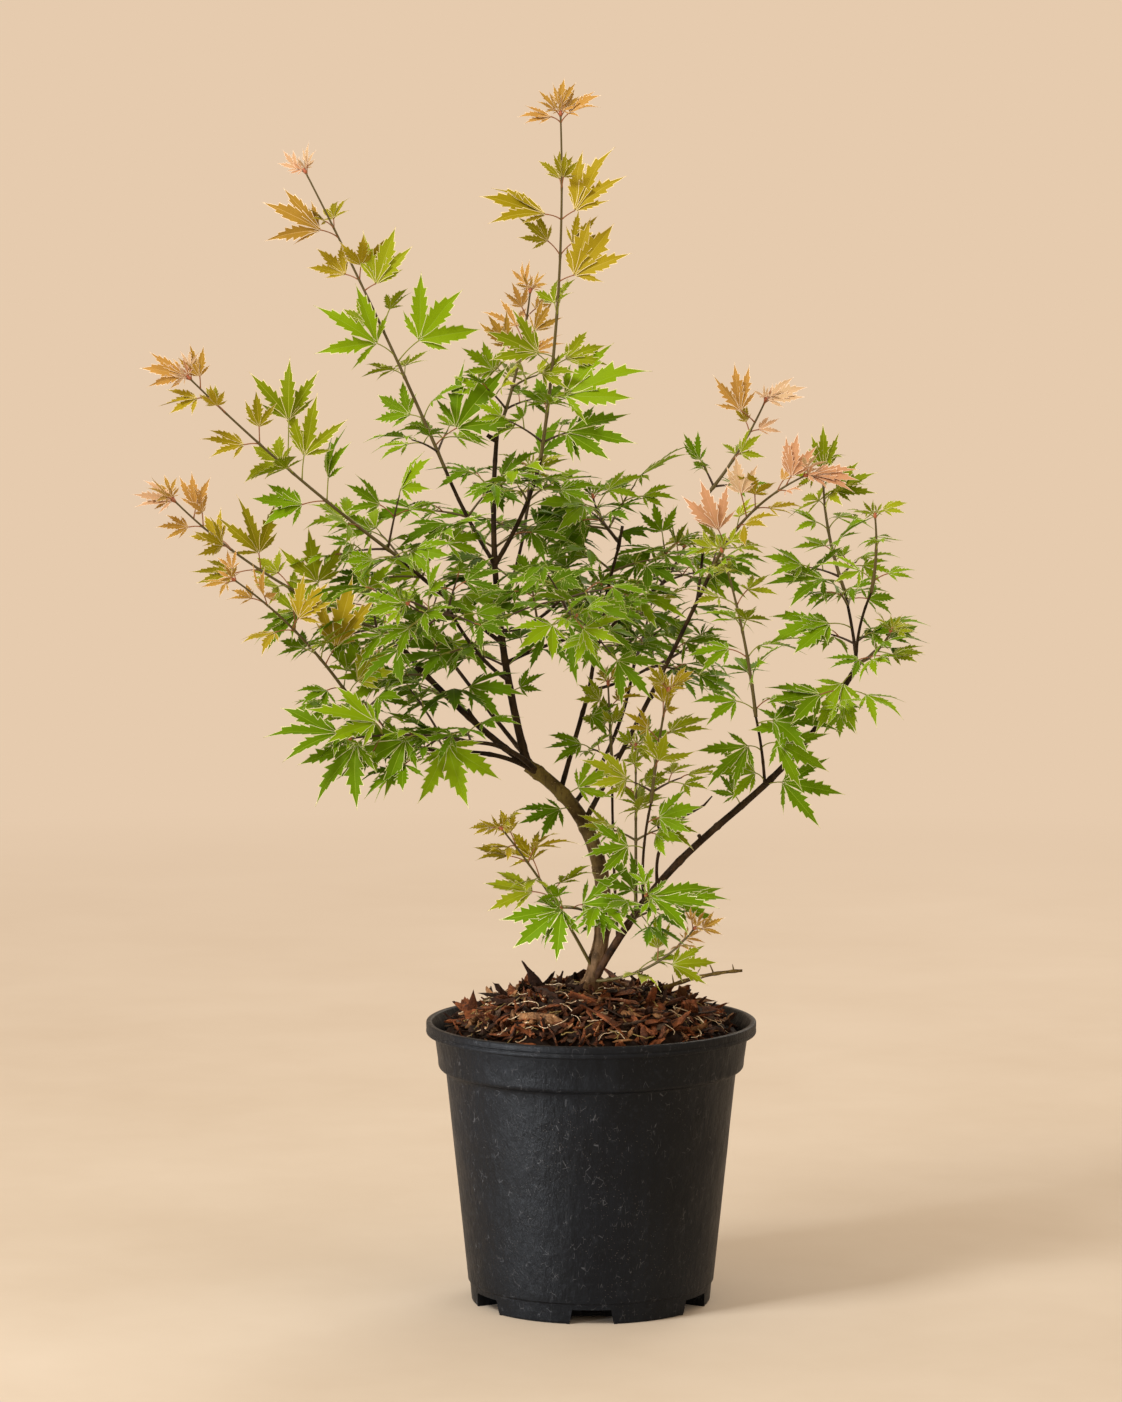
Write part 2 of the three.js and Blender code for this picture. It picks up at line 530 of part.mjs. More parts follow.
// The stem of each mass, cut clear of the limb that bears it.
function massStems() {
  return MASSES.map((row) => {
    const at = curves[row.on].getPoint(row.share).toArray();
    const curve = limbCurve({ ...row, at });
    let solid = tube(curve, [STEM_RADIUS, STEM_TIP_RADIUS], 3, 4);
    for (const guard of Object.values(guards)) {
      solid = mainBody(solid.subtract(guard));
    }
    return { row, curve, solid };
  });
}

// The side twigs and leaves that a stem bears, each kept only where it is clear of limbs and other leaves.
function growMass({ row, curve, solid }, seed, obstacles) {
  const random = seeded(seed);
  const grown = [];
  // Two leaves opposite each other on a stem or on the leafy side twig called bearer.
  const pair = (foot, along, turn, length, bearer) => {
    const others = [...obstacles, ...grown.filter((piece) => piece !== bearer)];
    for (const half of [0, Math.PI]) {
      const out = outward(along, turn + half + 0.4 * (random() - 0.5));
      const heading = along.clone().multiplyScalar(0.55).addScaledVector(out, 0.8);
      heading.addScaledVector(UP, 0.1 * random()).normalize();
      const reach = length * PETIOLE_SHARE * (0.8 + 0.4 * random());
      const leaf = leafOn(foot, heading, reach, length, PETIOLE_RADIUS, random);
      if (!touches(leaf, others)) {
        grown.push(boxed(row.name, leaf));
      }
    }
  };
  // Two opposite side twigs, each ending in a leaf and bearing a pair below it.
  const sprigs = (foot, along, turn) => {
    for (const half of [0, Math.PI]) {
      const heading = along.clone().multiplyScalar(0.5).addScaledVector(outward(along, turn + half), 0.85);
      heading.z = heading.z * 0.6 + 0.12;
      heading.normalize();
      const reach = row.twig * (0.8 + 0.4 * random());
      const twig = leafOn(foot, heading, reach, row.leaf, TWIG_RADIUS, random);
      if (!touches(twig, [...obstacles, ...grown])) {
        const bearer = boxed(row.name, twig);
        grown.push(bearer);
        pair(foot.clone().addScaledVector(heading, 0.55 * reach), heading, 0.3, 0.85 * row.leaf, bearer);
      }
    }
  };
  for (let i = 0; i < row.pairs; i += 1) {
    const share = row.first + (1 - row.first) * (i / (row.pairs - 1 || 1)) ** row.ease;
    const foot = curve.getPoint(share * 0.995);
    const along = curve.along(share);
    const turn = radians(row.turn + 90 * i);
    const young = 1 - 0.45 * Math.max(share - 0.55, 0) / 0.45;
    if (i < row.sprigs) {
      sprigs(foot, along, turn);
    } else {
      pair(foot, along, turn, row.leaf * young);
    }
  }
  return mainBody(Manifold.union([solid, ...grown.map((piece) => piece.solid)]).simplify(0.05));
}

const OLIVE_BARK = finish("#5a4b36", 0.85);
const DARK_BARK = finish("#33271d", 0.9);
const GREEN_LEAVES = finish("#4f9a35", 0.6);
const YOUNG_LEAVES = finish("#8aa545", 0.6);
const YOUNG_MASSES = new Set([
  "foliage_top",
  "foliage_upper_left",
  "foliage_long_left",
  "foliage_left",
  "foliage_right",
  "foliage_right_high",
  "foliage_riser_right",
]);

function buildPlant() {
  const group = new THREE.Group();
  growLimbs();
  const mulch = makeMulch(guards.trunk);
  group.add(meshOf("pot", makePot(), finish("#232425", 0.5)));
  group.add(meshOf("compost", makeCompost(), finish("#2a1f18", 0.95)));
  group.add(meshOf("bark_mulch", mulch, finish("#5b3220", 0.95)));
  for (const [name, solid] of Object.entries(limbs)) {
    group.add(meshOf(name, solid, name === "trunk" ? OLIVE_BARK : DARK_BARK));
  }
  const stems = massStems();
  const wood = Object.entries({ bark_mulch: mulch, ...limbs }).map(([name, solid]) => boxed(name, solid));
  const grown = [];
  stems.forEach((stem, i) => {
    const later = stems.slice(i + 1).map((other) => boxed(other.row.name, other.solid));
    const mass = growMass(stem, FIRST_SEED + i, [...wood, ...later, ...grown]);
    grown.push(boxed(stem.row.name, mass));
    group.add(meshOf(stem.row.name, mass, YOUNG_MASSES.has(stem.row.name) ? YOUNG_LEAVES : GREEN_LEAVES));
  });
  return group;
}

export default buildPlant();
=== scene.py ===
"""Looks of a young palmate maple in a nursery pot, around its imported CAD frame.

Sizes are millimetres in the tables below and metres once they reach Blender.
The limbs and the stems of the foliage repeat the part's own rule, and carry it to finer twigs and leaves.
"""

import math
import random
from collections import namedtuple

import bmesh
import bpy
import numpy as np
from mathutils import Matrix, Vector


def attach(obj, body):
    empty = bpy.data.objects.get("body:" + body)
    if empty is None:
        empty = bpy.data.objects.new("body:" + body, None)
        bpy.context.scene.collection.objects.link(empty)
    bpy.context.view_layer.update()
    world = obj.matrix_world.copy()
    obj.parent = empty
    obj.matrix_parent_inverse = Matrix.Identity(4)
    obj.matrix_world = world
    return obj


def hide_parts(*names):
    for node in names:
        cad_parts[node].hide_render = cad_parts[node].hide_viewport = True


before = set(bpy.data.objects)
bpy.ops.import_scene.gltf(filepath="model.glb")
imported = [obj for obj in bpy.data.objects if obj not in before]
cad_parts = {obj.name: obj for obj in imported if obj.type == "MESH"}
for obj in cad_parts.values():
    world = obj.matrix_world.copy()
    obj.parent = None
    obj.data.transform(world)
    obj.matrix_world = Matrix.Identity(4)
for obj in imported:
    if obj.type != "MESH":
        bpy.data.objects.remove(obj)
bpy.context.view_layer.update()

MM = 0.001
UP = np.array([0.0, 0.0, 1.0])

# ---------------------------------------------------------------- camera and stage

CAMERA_AT = (-22.7, -3400.0, 770.0)
CAMERA_PITCH = 5.27
FOCAL_LENGTH = 116.5
SENSOR = 36.0
BACKDROP = "#e6cbae"
FLOOR = "#cfc7ba"
FLOOR_RADIUS = 9
# The floor fades into the backdrop between these distances from the pot, in metres.
FADE = (0.9, 3.2)

# ---------------------------------------------------------------- the part's driving sizes

GROUND = 225
TRUNK_BASE = (-7.5, 0, GROUND)
FLARE = 0.1
FLARE_LENGTH = 0.16
PETIOLE_SHARE = 0.42

# Limbs, as in the part: name, parent and share of its length, tip, bend, end radii and double bend.
Limb = namedtuple("Limb", "name on share tip bow thick sway", defaults=[(0, 0, 0)])
LIMBS = [Limb(*row) for row in (
    ("trunk", None, 0, (-48, 6, 407), (35, 0, 10), (6.9, 5.4), (-1, 0, -3)),
    ("bough_centre", "trunk", 1, (-71, 22, 655), (-11, 0, 0), (3.4, 1.7)),
    ("bough_leader", "bough_centre", 0.61, (-38, 0, 638), (4, 0, 0), (1.9, 1.5)),
    ("bough_upper_left", "bough_centre", 0.61, (-110, 30, 629), (-2, 0, 0), (1.7, 1.4)),
    ("bough_long_left", "bough_centre", 0.37, (-143, -40, 567), (0, 0, -1), (1.8, 1.5)),
    ("bough_left", "trunk", 0.985, (-149, -30, 509), (-4, 0, -3), (2.9, 1.9)),
    ("bough_low_left", "trunk", 0.9, (-164, -30, 436), (2, 0, 4), (2.1, 1.4), (1, 0, 5)),
    ("bough_low_front", "trunk", 0.96, (-87, -50, 430), (2, -4, 6), (2.3, 1.5)),
    ("bough_middle", "trunk", 0.85, (-1, 30, 463), (0, 3, 0), (2.1, 1.8)),
    ("bough_middle_up", "bough_middle", 1, (22, 45, 573), (-2, 0, 0), (1.6, 1.2)),
    ("bough_middle_right", "bough_middle", 0.98, (43, 85, 473), (0, 0, -2), (1.4, 1.1)),
    ("bough_middle_high", "bough_middle_up", 0.28, (53, 70, 538), (-3, 0, 3), (1.3, 1.1)),
    ("bough_right", "trunk", 0.7, (87, -35, 552), (2, 4, 0), (2.2, 1.5)),
    ("bough_right_high", "bough_right", 0.9, (87, 10, 611), (1, 0, 0), (1.2, 1.0)),
    ("stem_right", "trunk", 0.06, (197, -70, 491), (3, 0, 7), (3.4, 2.1), (-4, 0, 8)),
    ("bough_right_inner", "stem_right", 0.99, (187, -50, 543), (1, 0, 0), (1.4, 1.1)),
    ("bough_right_outer", "stem_right", 0.985, (203, -105, 545), (-3, 0, 1), (1.3, 1.0)),
    ("bough_riser_outer", "stem_right", 0.63, (121, -70, 451), (1, 0, 0), (1.3, 1.0)),
    ("bough_riser_left", "stem_right", 0.12, (16, 17, 405), (-1, 3, 0), (1.2, 1.0)),
    ("bough_riser_right", "stem_right", 0.22, (44, -60, 386), (-3, -3, 0), (1.2, 1.0)),
    ("dead_twig", "stem_right", 0.27, (77, 20, 370), (-9, 2, 6), (1.4, 0.9)),
    ("bough_centre_right", "bough_centre", 0.31, (-11, 60, 500), (0, 0, 2), (1.7, 1.2)),
    ("bough_back_left", "trunk", 0.94, (-112, 98, 484), (6, 8, -10), (2.2, 1.4)),
    ("bough_back_right", "trunk", 0.78, (34, 112, 474), (6, 10, -8), (2.0, 1.3)),
    ("bough_back_centre", "bough_centre", 0.45, (-52, 100, 574), (0, 6, -6), (1.7, 1.3)),
    ("bough_front_left", "bough_centre", 0.26, (-104, -84, 530), (0, -6, -6), (1.7, 1.3)),
    ("bough_front_right", "bough_centre", 0.41, (-22, -86, 540), (0, -6, -6), (1.6, 1.2)),
)]

# Masses of foliage, as in the part: name, limb and share of its length, tip and bend of the stem;
# number of pairs, share of the first one, ease of their spacing, how many of them are side twigs,
# lengths of a side twig and a leaf, turn of the first pair in degrees, how far the leaves stand up,
# and their tints from the foot of the stem to its tip.
Mass = namedtuple("Mass", "name on share tip bow pairs first ease sprigs twig leaf turn erect tints")
MASSES = [Mass(*row) for row in (
    ("foliage_top", "bough_leader", 1, (-23, -12, 893), (6, 0, 0),
     7, 0.05, 1.35, 1, 28, 33, 10, 0.7, "green green lime lime olive olive peach"),
    ("foliage_crest", "bough_centre", 1, (-46, 24, 762), (3, 0, -2),
     6, 0.2, 1, 2, 24, 34, 40, 0.6, "green lime peach peach"),
    ("foliage_upper_left", "bough_upper_left", 1, (-215, 45, 852), (2, 0, 1),
     7, 0.06, 1.2, 1, 30, 36, 60, 0.6, "green green lime lime olive olive pink"),
    ("foliage_long_left", "bough_long_left", 1, (-292, -95, 700), (-3, 0, -2),
     7, 0.05, 1.1, 1, 36, 38, 75, 0.6, "green green lime lime olive pink"),
    ("foliage_left", "bough_left", 1, (-306, -70, 610), (-7, 0, -8),
     8, 0.06, 1.1, 1, 34, 40, 70, 0.5, "green green lime olive olive peach"),
    ("foliage_low_left", "bough_low_left", 1, (-262, -74, 552), (4, 0, 8),
     6, 0.08, 1.1, 1, 28, 38, 20, 0.4, "green green lime olive peach"),
    ("foliage_low_front", "bough_low_front", 1, (-176, -88, 437), (0, 0, 4),
     5, 0.03, 1, 2, 36, 38, 15, 0.15, "deep green green"),
    ("foliage_middle_up", "bough_middle_up", 1, (2, 56, 606), (-3, 0, 0),
     5, 0.08, 1, 2, 40, 46, 20, 0.1, "deep green green"),
    ("foliage_middle_right", "bough_middle_right", 1, (84, 112, 494), (0, 0, -2),
     4, 0.15, 1, 1, 30, 40, 50, 0.15, "deep green green"),
    ("foliage_middle_high", "bough_middle_high", 1, (72, 94, 566), (0, 0, -2),
     5, 0.12, 1, 2, 34, 40, 0, 0.15, "deep green green lime"),
    ("foliage_right", "bough_right", 1, (156, -60, 628), (-7, 0, 7),
     6, 0.05, 1.1, 1, 28, 30, 35, 0.5, "green lime olive peach pink"),
    ("foliage_right_high", "bough_right_high", 1, (131, 30, 680), (2, 0, -2),
     4, 0.1, 1, 1, 22, 26, 80, 0.5, "green lime olive pink"),
    ("foliage_outer", "stem_right", 1, (218, -90, 515), (2, 0, -2),
     4, 0.2, 1, 1, 20, 30, 30, 0.3, "green green lime"),
    ("foliage_right_inner", "bough_right_inner", 1, (172, -36, 636), (-5, 0, 2),
     6, 0.1, 1, 1, 22, 34, 25, 0.2, "green green lime"),
    ("foliage_right_outer", "bough_right_outer", 1, (205, -114, 600), (2, 0, 0),
     3, 0.15, 1, 0, 24, 32, 5, 0.2, "green green lime"),
    ("foliage_hanging", "stem_right", 0.93, (184, -84, 464), (0, 0, 4),
     2, 0.6, 1, 0, 0, 48, 0, 0, "green"),
    ("foliage_riser_outer", "bough_riser_outer", 1, (96, -66, 572), (3, 0, 0),
     7, 0.04, 1, 0, 22, 38, 15, 0.25, "green green lime lime"),
    ("foliage_riser_left", "bough_riser_left", 1, (13, 22, 466), (0, 0, 0),
     4, 0.1, 1, 1, 20, 32, 20, 0.5, "green lime olive"),
    ("foliage_riser_mid", "stem_right", 0.19, (33, -34, 424), (0, -4, 0),
     5, 0.45, 1, 1, 20, 34, 0, 0.4, "green lime lime"),
    ("foliage_riser_right", "bough_riser_right", 1, (56, -76, 470), (-1, 0, 0),
     5, 0.1, 1, 1, 22, 34, 20, 0.6, "lime lime olive olive"),
    ("foliage_sucker", "trunk", 0.13, (-66, -60, 366), (2, 0, 3),
     5, 0.5, 1, 0, 0, 42, 35, 0.3, "lime lime olive"),
    ("foliage_low_centre", "trunk", 0.3, (-22, -48, 306), (4, 0, 4),
     2, 0.6, 1, 0, 0, 52, 0, 0.05, "green"),
    ("foliage_low_right", "stem_right", 0.16, (40, -58, 316), (0, 0, -3),
     4, 0.35, 1, 1, 28, 44, 10, 0.1, "deep green"),
    ("foliage_foot", "stem_right", 0.02, (76, -50, 290), (4, -6, -8),
     4, 0.4, 1, 0, 0, 32, 20, 0.4, "lime lime peach"),
    ("foliage_centre_right", "bough_centre_right", 1, (8, 84, 536), (4, 0, -4),
     5, 0.1, 1, 2, 38, 48, 70, 0.1, "deep green green"),
    ("foliage_back_left", "bough_back_left", 1, (-172, 168, 524), (0, 4, -4),
     5, 0.06, 1, 2, 42, 42, 30, 0.1, "deep green lime"),
    ("foliage_back_right", "bough_back_right", 1, (50, 180, 522), (0, 4, -4),
     5, 0.06, 1, 2, 46, 42, 50, 0.1, "deep green lime"),
    ("foliage_back_centre", "bough_back_centre", 1, (-47, 166, 624), (0, 4, -6),
     5, 0.06, 1, 2, 42, 46, 10, 0.1, "deep green lime"),
    ("foliage_front_left", "bough_front_left", 1, (-132, -152, 540), (0, -4, -4),
     5, 0.06, 1, 2, 44, 38, 65, 0.1, "deep green green"),
    ("foliage_front_right", "bough_front_right", 1, (-12, -152, 532), (0, -4, -4),
     5, 0.06, 1, 2, 44, 40, 25, 0.1, "deep green green"),
)]

# Side sprays on the limbs themselves: limb, shares of its length, twig and leaf length, tints and how erect.
Spray = namedtuple("Spray", "name shares twig leaf tints erect")
SPRAYS = [Spray(*row) for row in (
    ("bough_centre", (0.3, 0.5, 0.66, 0.82), 34, 48, "deep green", 0.15),
    ("bough_leader", (0.6,), 28, 38, "green green lime", 0.3),
    ("bough_upper_left", (0.5,), 32, 42, "deep green", 0.3),
    ("bough_long_left", (0.5, 0.78, 0.98), 32, 46, "deep green", 0.2),
    ("bough_left", (0.5, 0.72, 0.93), 34, 48, "deep green", 0.15),
    ("bough_low_left", (0.6, 0.9), 26, 40, "green", 0.1),
    ("bough_middle_up", (0.4, 0.8), 28, 46, "deep green", 0.1),
    ("bough_middle_high", (0.5,), 26, 42, "deep green", 0.1),
    ("bough_right_inner", (0.3, 0.8), 20, 36, "green", 0.15),
    ("bough_back_centre", (0.55,), 30, 46, "deep green", 0.1),
    ("bough_front_left", (0.6,), 28, 46, "deep green", 0.1),
    ("bough_front_right", (0.6,), 28, 42, "deep green", 0.1),
)]

# Leaves placed one by one, on bare wood or on a shoot. For each stem: share of its length, way of the stalk,
# way of the middle lobe, blade length, tint, how far the face turns from the sky to the front, stalk length.
PLACED = [
    ("stem_right", [
        (0.62, (0.9, -0.5, 0.3), (1, -0.3, -0.1), 44, "green", 0.7, 18),
        (0.55, (-0.5, -0.2, 0.9), (-0.6, -0.3, 0.7), 22, "green", 0.6, 10),
        (0.97, (-0.5, -0.6, -0.4), (-0.5, -0.4, -0.85), 44, "green", 0.8, 14),
        (0.78, (-0.7, -0.5, 0.8), (-0.9, -0.3, 0.1), 34, "green", 0.6, 14),
    ]),
    ("trunk", [
        (0.82, (0.7, -0.5, 0.6), (0.7, -0.4, 0.5), 34, "green", 0.7, 14),
        (0.76, (-0.9, -0.6, 0.1), (-0.9, -0.4, -0.2), 36, "deep", 0.5, 14),
    ]),
    ("bough_centre", [
        (0.22, (0.8, -0.4, 0.5), (0.8, -0.3, 0.5), 20, "green", 0.8, 9),
    ]),
    ("bough_middle", [
        (0.7, (0.8, -0.5, 0.3), (0.9, -0.4, 0), 26, "green", 0.6, 10),
    ]),
    ("bough_riser_right", [
        (0.55, (-0.9, -0.5, 0.2), (-0.95, -0.4, 0), 36, "green", 0.6, 14),
        (0.8, (0.7, -0.5, 0.4), (0.8, -0.4, 0.4), 32, "green", 0.7, 12),
    ]),
    ("bough_riser_outer", [
        (0.05, (-0.5, -0.6, 0.5), (-0.95, -0.3, 0.05), 36, "green", 0.7, 14),
        (0.55, (0.7, -0.5, 0.3), (0.9, -0.3, -0.4), 40, "green", 0.8, 14),
        (0.5, (-0.7, -0.5, 0.3), (-0.8, -0.3, -0.5), 42, "green", 0.8, 14),
        (0.9, (0.8, -0.5, 0.2), (1, -0.3, 0.1), 44, "green", 0.5, 14),
    ]),
    ("bough_right_inner", [
        (0.5, (-0.8, -0.4, 0.2), (-1, -0.2, -0.1), 50, "green", 0.3, 20),
    ]),
    ("foliage_right_inner", [
        (0.05, (-0.8, -0.4, 0.2), (-1, -0.2, 0.05), 46, "green", 0.3, 16),
        (0.85, (0, -0.6, 0.8), (-0.1, -0.2, 1), 30, "lime", 0.8, 12),
        (0.7, (0.6, -0.4, 0.5), (0.8, -0.2, 0.5), 30, "lime", 0.6, 12),
    ]),
    ("foliage_right", [
        (0.24, (-0.3, -0.5, 0.8), (-0.25, -0.2, 0.95), 40, "pink", 0.8, 16),
        (0.5, (-0.2, -0.5, 0.8), (-0.1, -0.2, 1), 26, "pink", 0.7, 22),
        (0.86, (0.4, -0.4, 0.8), (0.15, -0.2, 0.98), 32, "pink", 0.8, 9),
        (0.98, (0.9, -0.2, 0.2), (0.97, -0.2, 0.1), 36, "pink", 0.5, 8),
    ]),
    ("foliage_right_high", [
        (0.8, (-0.6, -0.4, 0.5), (-0.3, -0.2, 0.95), 36, "peach", 0.9, 16),
        (0.97, (0.6, -0.4, 0.6), (0.8, -0.2, 0.45), 30, "pink", 0.5, 6),
    ]),
    ("foliage_long_left", [
        (0.98, (-0.6, -0.2, 0.5), (-0.97, -0.2, 0.2), 32, "peach", 0.6, 9),
        (0.95, (0, -0.4, 0.9), (-0.35, -0.2, 0.92), 24, "peach", 0.8, 10),
        (0.9, (-0.7, -0.3, 0), (-0.95, -0.2, -0.05), 28, "olive", 0.6, 10),
    ]),
    ("foliage_left", [
        (0.97, (-0.6, -0.2, 0.4), (-0.95, -0.2, 0.3), 30, "pink", 0.6, 8),
        (0.9, (0.2, -0.4, 0.9), (-0.1, -0.2, 1), 26, "peach", 0.8, 10),
    ]),
    ("foliage_upper_left", [
        (0.6, (0.5, -0.5, 0.3), (0.25, -0.2, 1), 44, "lime", 1, 14),
        (0.78, (-0.7, -0.3, 0.3), (-0.85, -0.2, 0.45), 46, "peach", 0.8, 16),
        (0.36, (0.6, -0.4, 0.6), (0.5, -0.3, 0.8), 52, "green", 0.8, 26),
        (0.38, (-0.7, -0.3, 0.5), (-0.75, -0.2, 0.55), 50, "green", 0.7, 18),
        (0.08, (0.6, -0.5, 0.5), (0.55, -0.3, 0.75), 56, "green", 0.9, 26),
    ]),
    ("foliage_long_left", [
        (0.52, (0.05, -0.3, 1), (-0.1, -0.2, 1), 46, "lime", 1, 38),
        (0.45, (0.1, -0.5, 0.9), (0.25, -0.3, 0.9), 44, "lime", 1, 22),
    ]),
    ("foliage_top", [
        (1.0, (0, -0.1, 1), (0.05, -0.1, 1), 21, "peach", 0.5, 7),
        (0.98, (-0.5, -0.2, 0.3), (-0.97, -0.2, 0.12), 25, "peach", 0.3, 9),
        (0.98, (0.5, -0.2, 0.6), (0.75, -0.2, 0.6), 28, "peach", 0.3, 9),
        (0.7, (0.6, -0.4, 0.4), (0.4, -0.2, 0.9), 52, "olive", 0.9, 14),
        (0.7, (-0.6, -0.3, 0.2), (-0.95, -0.1, 0.35), 50, "olive", 0.5, 14),
        (0.52, (0.7, -0.4, 0.3), (0.6, -0.2, 0.8), 46, "olive", 0.9, 14),
        (0.3, (-0.7, -0.5, 0.2), (-0.8, -0.3, 0.5), 42, "lime", 0.8, 14),
        (0.17, (0.7, -0.5, 0.3), (0.85, -0.2, 0.4), 62, "green", 0.7, 16),
        (0.08, (0.8, -0.3, 0), (0.95, -0.3, 0.05), 54, "green", 0.5, 18),
    ]),
    ("foliage_low_left", [
        (0.38, (0.4, -0.5, 0.7), (0.15, -0.2, 1), 50, "olive", 1, 20),
        (0.2, (0.4, -0.6, 0.6), (0.6, -0.3, 0.7), 40, "lime", 0.9, 18),
        (0.62, (0.3, -0.6, 0.5), (0.5, -0.3, 0.8), 38, "olive", 0.9, 14),
    ]),
    ("foliage_low_front", [
        (0.45, (-0.6, -0.7, -0.1), (-0.85, -0.4, -0.45), 52, "green", 0.8, 16),
        (0.2, (-0.1, -0.8, -0.2), (0.35, -0.4, -0.9), 50, "green", 0.8, 14),
        (0.75, (-0.3, -0.6, 0.6), (-0.9, -0.3, 0.3), 48, "green", 0.4, 16),
        (0.95, (-0.8, -0.3, 0.2), (-1, -0.25, 0.08), 56, "green", 0.35, 16),
        (0.85, (-0.6, -0.5, -0.3), (-0.6, -0.3, -0.75), 52, "green", 0.8, 14),
    ]),
    ("foliage_low_centre", [
        (0.9, (-0.3, -0.7, 0), (-0.7, -0.4, -0.5), 48, "green", 0.7, 12),
        (0.8, (0.5, -0.7, 0.3), (0.9, -0.4, 0.2), 44, "green", 0.8, 12),
    ]),
    ("foliage_low_right", [
        (0.9, (0.4, -0.7, 0.3), (0.97, -0.3, -0.05), 54, "green", 0.35, 12),
    ]),
]

# ---------------------------------------------------------------- colours

# Leaf tints: three shades of the blade, the pale margin and the vein.
TINTS = {
    "deep": ("#577a09", "#62880d", "#4a6a06", "#c0ca80", "#6d9128"),
    "green": ("#6e920a", "#7e9e0d", "#608207", "#e0e2ae", "#8aa830"),
    "lime": ("#869412", "#95a21a", "#788a0c", "#f0e8b8", "#a9b544"),
    "olive": ("#978a15", "#a4941f", "#898512", "#f5e6ba", "#beb04e"),
    "peach": ("#b18c3c", "#ba9048", "#a88634", "#fbebd2", "#d2b274"),
    "pink": ("#caa883", "#c49772", "#ceb490", "#ffeedd", "#d6a488"),
}
YOUNG_TINTS = {"olive", "peach", "pink"}
WOOD_SHINE = 0.15
LEAF_SHINE = 0.05


def linear(code):
    """A linear RGBA colour from a hex code."""
    values = [int(code[i:i + 2], 16) / 255 for i in (1, 3, 5)]
    return tuple(v / 12.92 if v <= 0.04045 else ((v + 0.055) / 1.055) ** 2.4 for v in values) + (1.0,)


# ---------------------------------------------------------------- meshes

def unit(v):
    return v / (np.linalg.norm(v, axis=-1, keepdims=True) + 1e-12)


class Soup:
    """Points and faces of one piece, joined from many small shapes."""

    def __init__(self):
        self.points = []
        self.faces = []
        self.slots = []
        self.count = 0
        self.nodes = set()

    def add(self, points, faces, slot=0):
        """faces is a list of index arrays of 3 or 4 columns, and slot a number or one for each face."""
        self.points.append(np.asarray(points, float))
        for rows in faces:
            self.faces.extend((np.asarray(rows) + self.count).tolist())
        total = sum(len(rows) for rows in faces)
        self.slots.append(np.full(total, slot) if np.isscalar(slot) else slot)
        self.count += len(points)

    def piece(self, name, materials, smooth=True):
        mesh = bpy.data.meshes.new(name)
        points = np.concatenate(self.points) * MM
        mesh.from_pydata(points.tolist(), [], self.faces)
        mesh.polygons.foreach_set("material_index", np.concatenate(self.slots).astype(np.int32))
        mesh.polygons.foreach_set("use_smooth", np.full(len(mesh.polygons), smooth))
        for material in materials:
            mesh.materials.append(material)
        mesh.update()
        return placed(name, mesh)


LATTICE = np.random.RandomState(5).rand(32, 32, 32)


def noise3(points):
    """Smooth noise from -1 to 1 at points, which repeats every 32 units."""
    base = np.floor(points).astype(int)
    part = points - base
    part = part * part * (3 - 2 * part)
    total = 0
    for dx in (0, 1):
        for dy in (0, 1):
            for dz in (0, 1):
                weight = (
                    np.abs(1 - dx - part[..., 0])
                    * np.abs(1 - dy - part[..., 1])
                    * np.abs(1 - dz - part[..., 2])
                )
                corner = LATTICE[(base[..., 0] + dx) % 32, (base[..., 1] + dy) % 32, (base[..., 2] + dz) % 32]
                total = total + weight * corner
    return 2 * total - 1


class LimbCurve:
    """The part's limb line: straight from at to tip, with a bend and a double bend added."""

    def __init__(self, at, tip, bow=(0, 0, 0), sway=(0, 0, 0)):
        self.at, self.tip, self.bow, self.sway = (np.array(v, float) for v in (at, tip, bow, sway))

    def point(self, share):
        t = np.asarray(share, float)[..., None]
        line = self.at + (self.tip - self.at) * t
        return line + self.bow * 4 * t * (1 - t) + self.sway * np.sin(2 * np.pi * t)

    def along(self, share):
        t = np.asarray(share, float)
        return unit(self.point(np.minimum(t + 0.01, 1)) - self.point(np.maximum(t - 0.01, 0)))

    def length(self):
        points = self.point(np.linspace(0, 1, 40))
        return float(np.linalg.norm(np.diff(points, axis=0), axis=1).sum())


def ring_faces(rings, sides, closed=True):
    """Quads between rings of sides points each."""
    i, j = np.meshgrid(np.arange(rings - 1), np.arange(sides if closed else sides - 1), indexing="ij")
    k = (j + 1) % sides
    near, far = i * sides, (i + 1) * sides
    return np.stack([near + j, near + k, far + k, far + j], -1).reshape(-1, 4)


def placed(name, data):
    """A new object of the scene that shows data."""
    made = bpy.data.objects.new(name, data)
    bpy.context.scene.collection.objects.link(made)
    return made


def hand_over(piece, slot, *nodes):
    """The piece takes the place of nodes, and rides on the part's one body."""
    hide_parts(*nodes)
    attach(piece, "root")


def ring_angles(sides):
    return np.arange(sides) * 2 * np.pi / sides


def closed_faces(rings, sides):
    """Quads between rings, and a fan on either end round a point that follows all the rings."""
    j = np.arange(sides)
    k = (j + 1) % sides
    last = (rings - 1) * sides
    low = np.stack([k, j, np.full(sides, rings * sides)], -1)
    high = np.stack([last + j, last + k, np.full(sides, rings * sides + 1)], -1)
    return [ring_faces(rings, sides), low, high]


def inside_out(faces):
    return [rows[:, ::-1] for rows in faces]


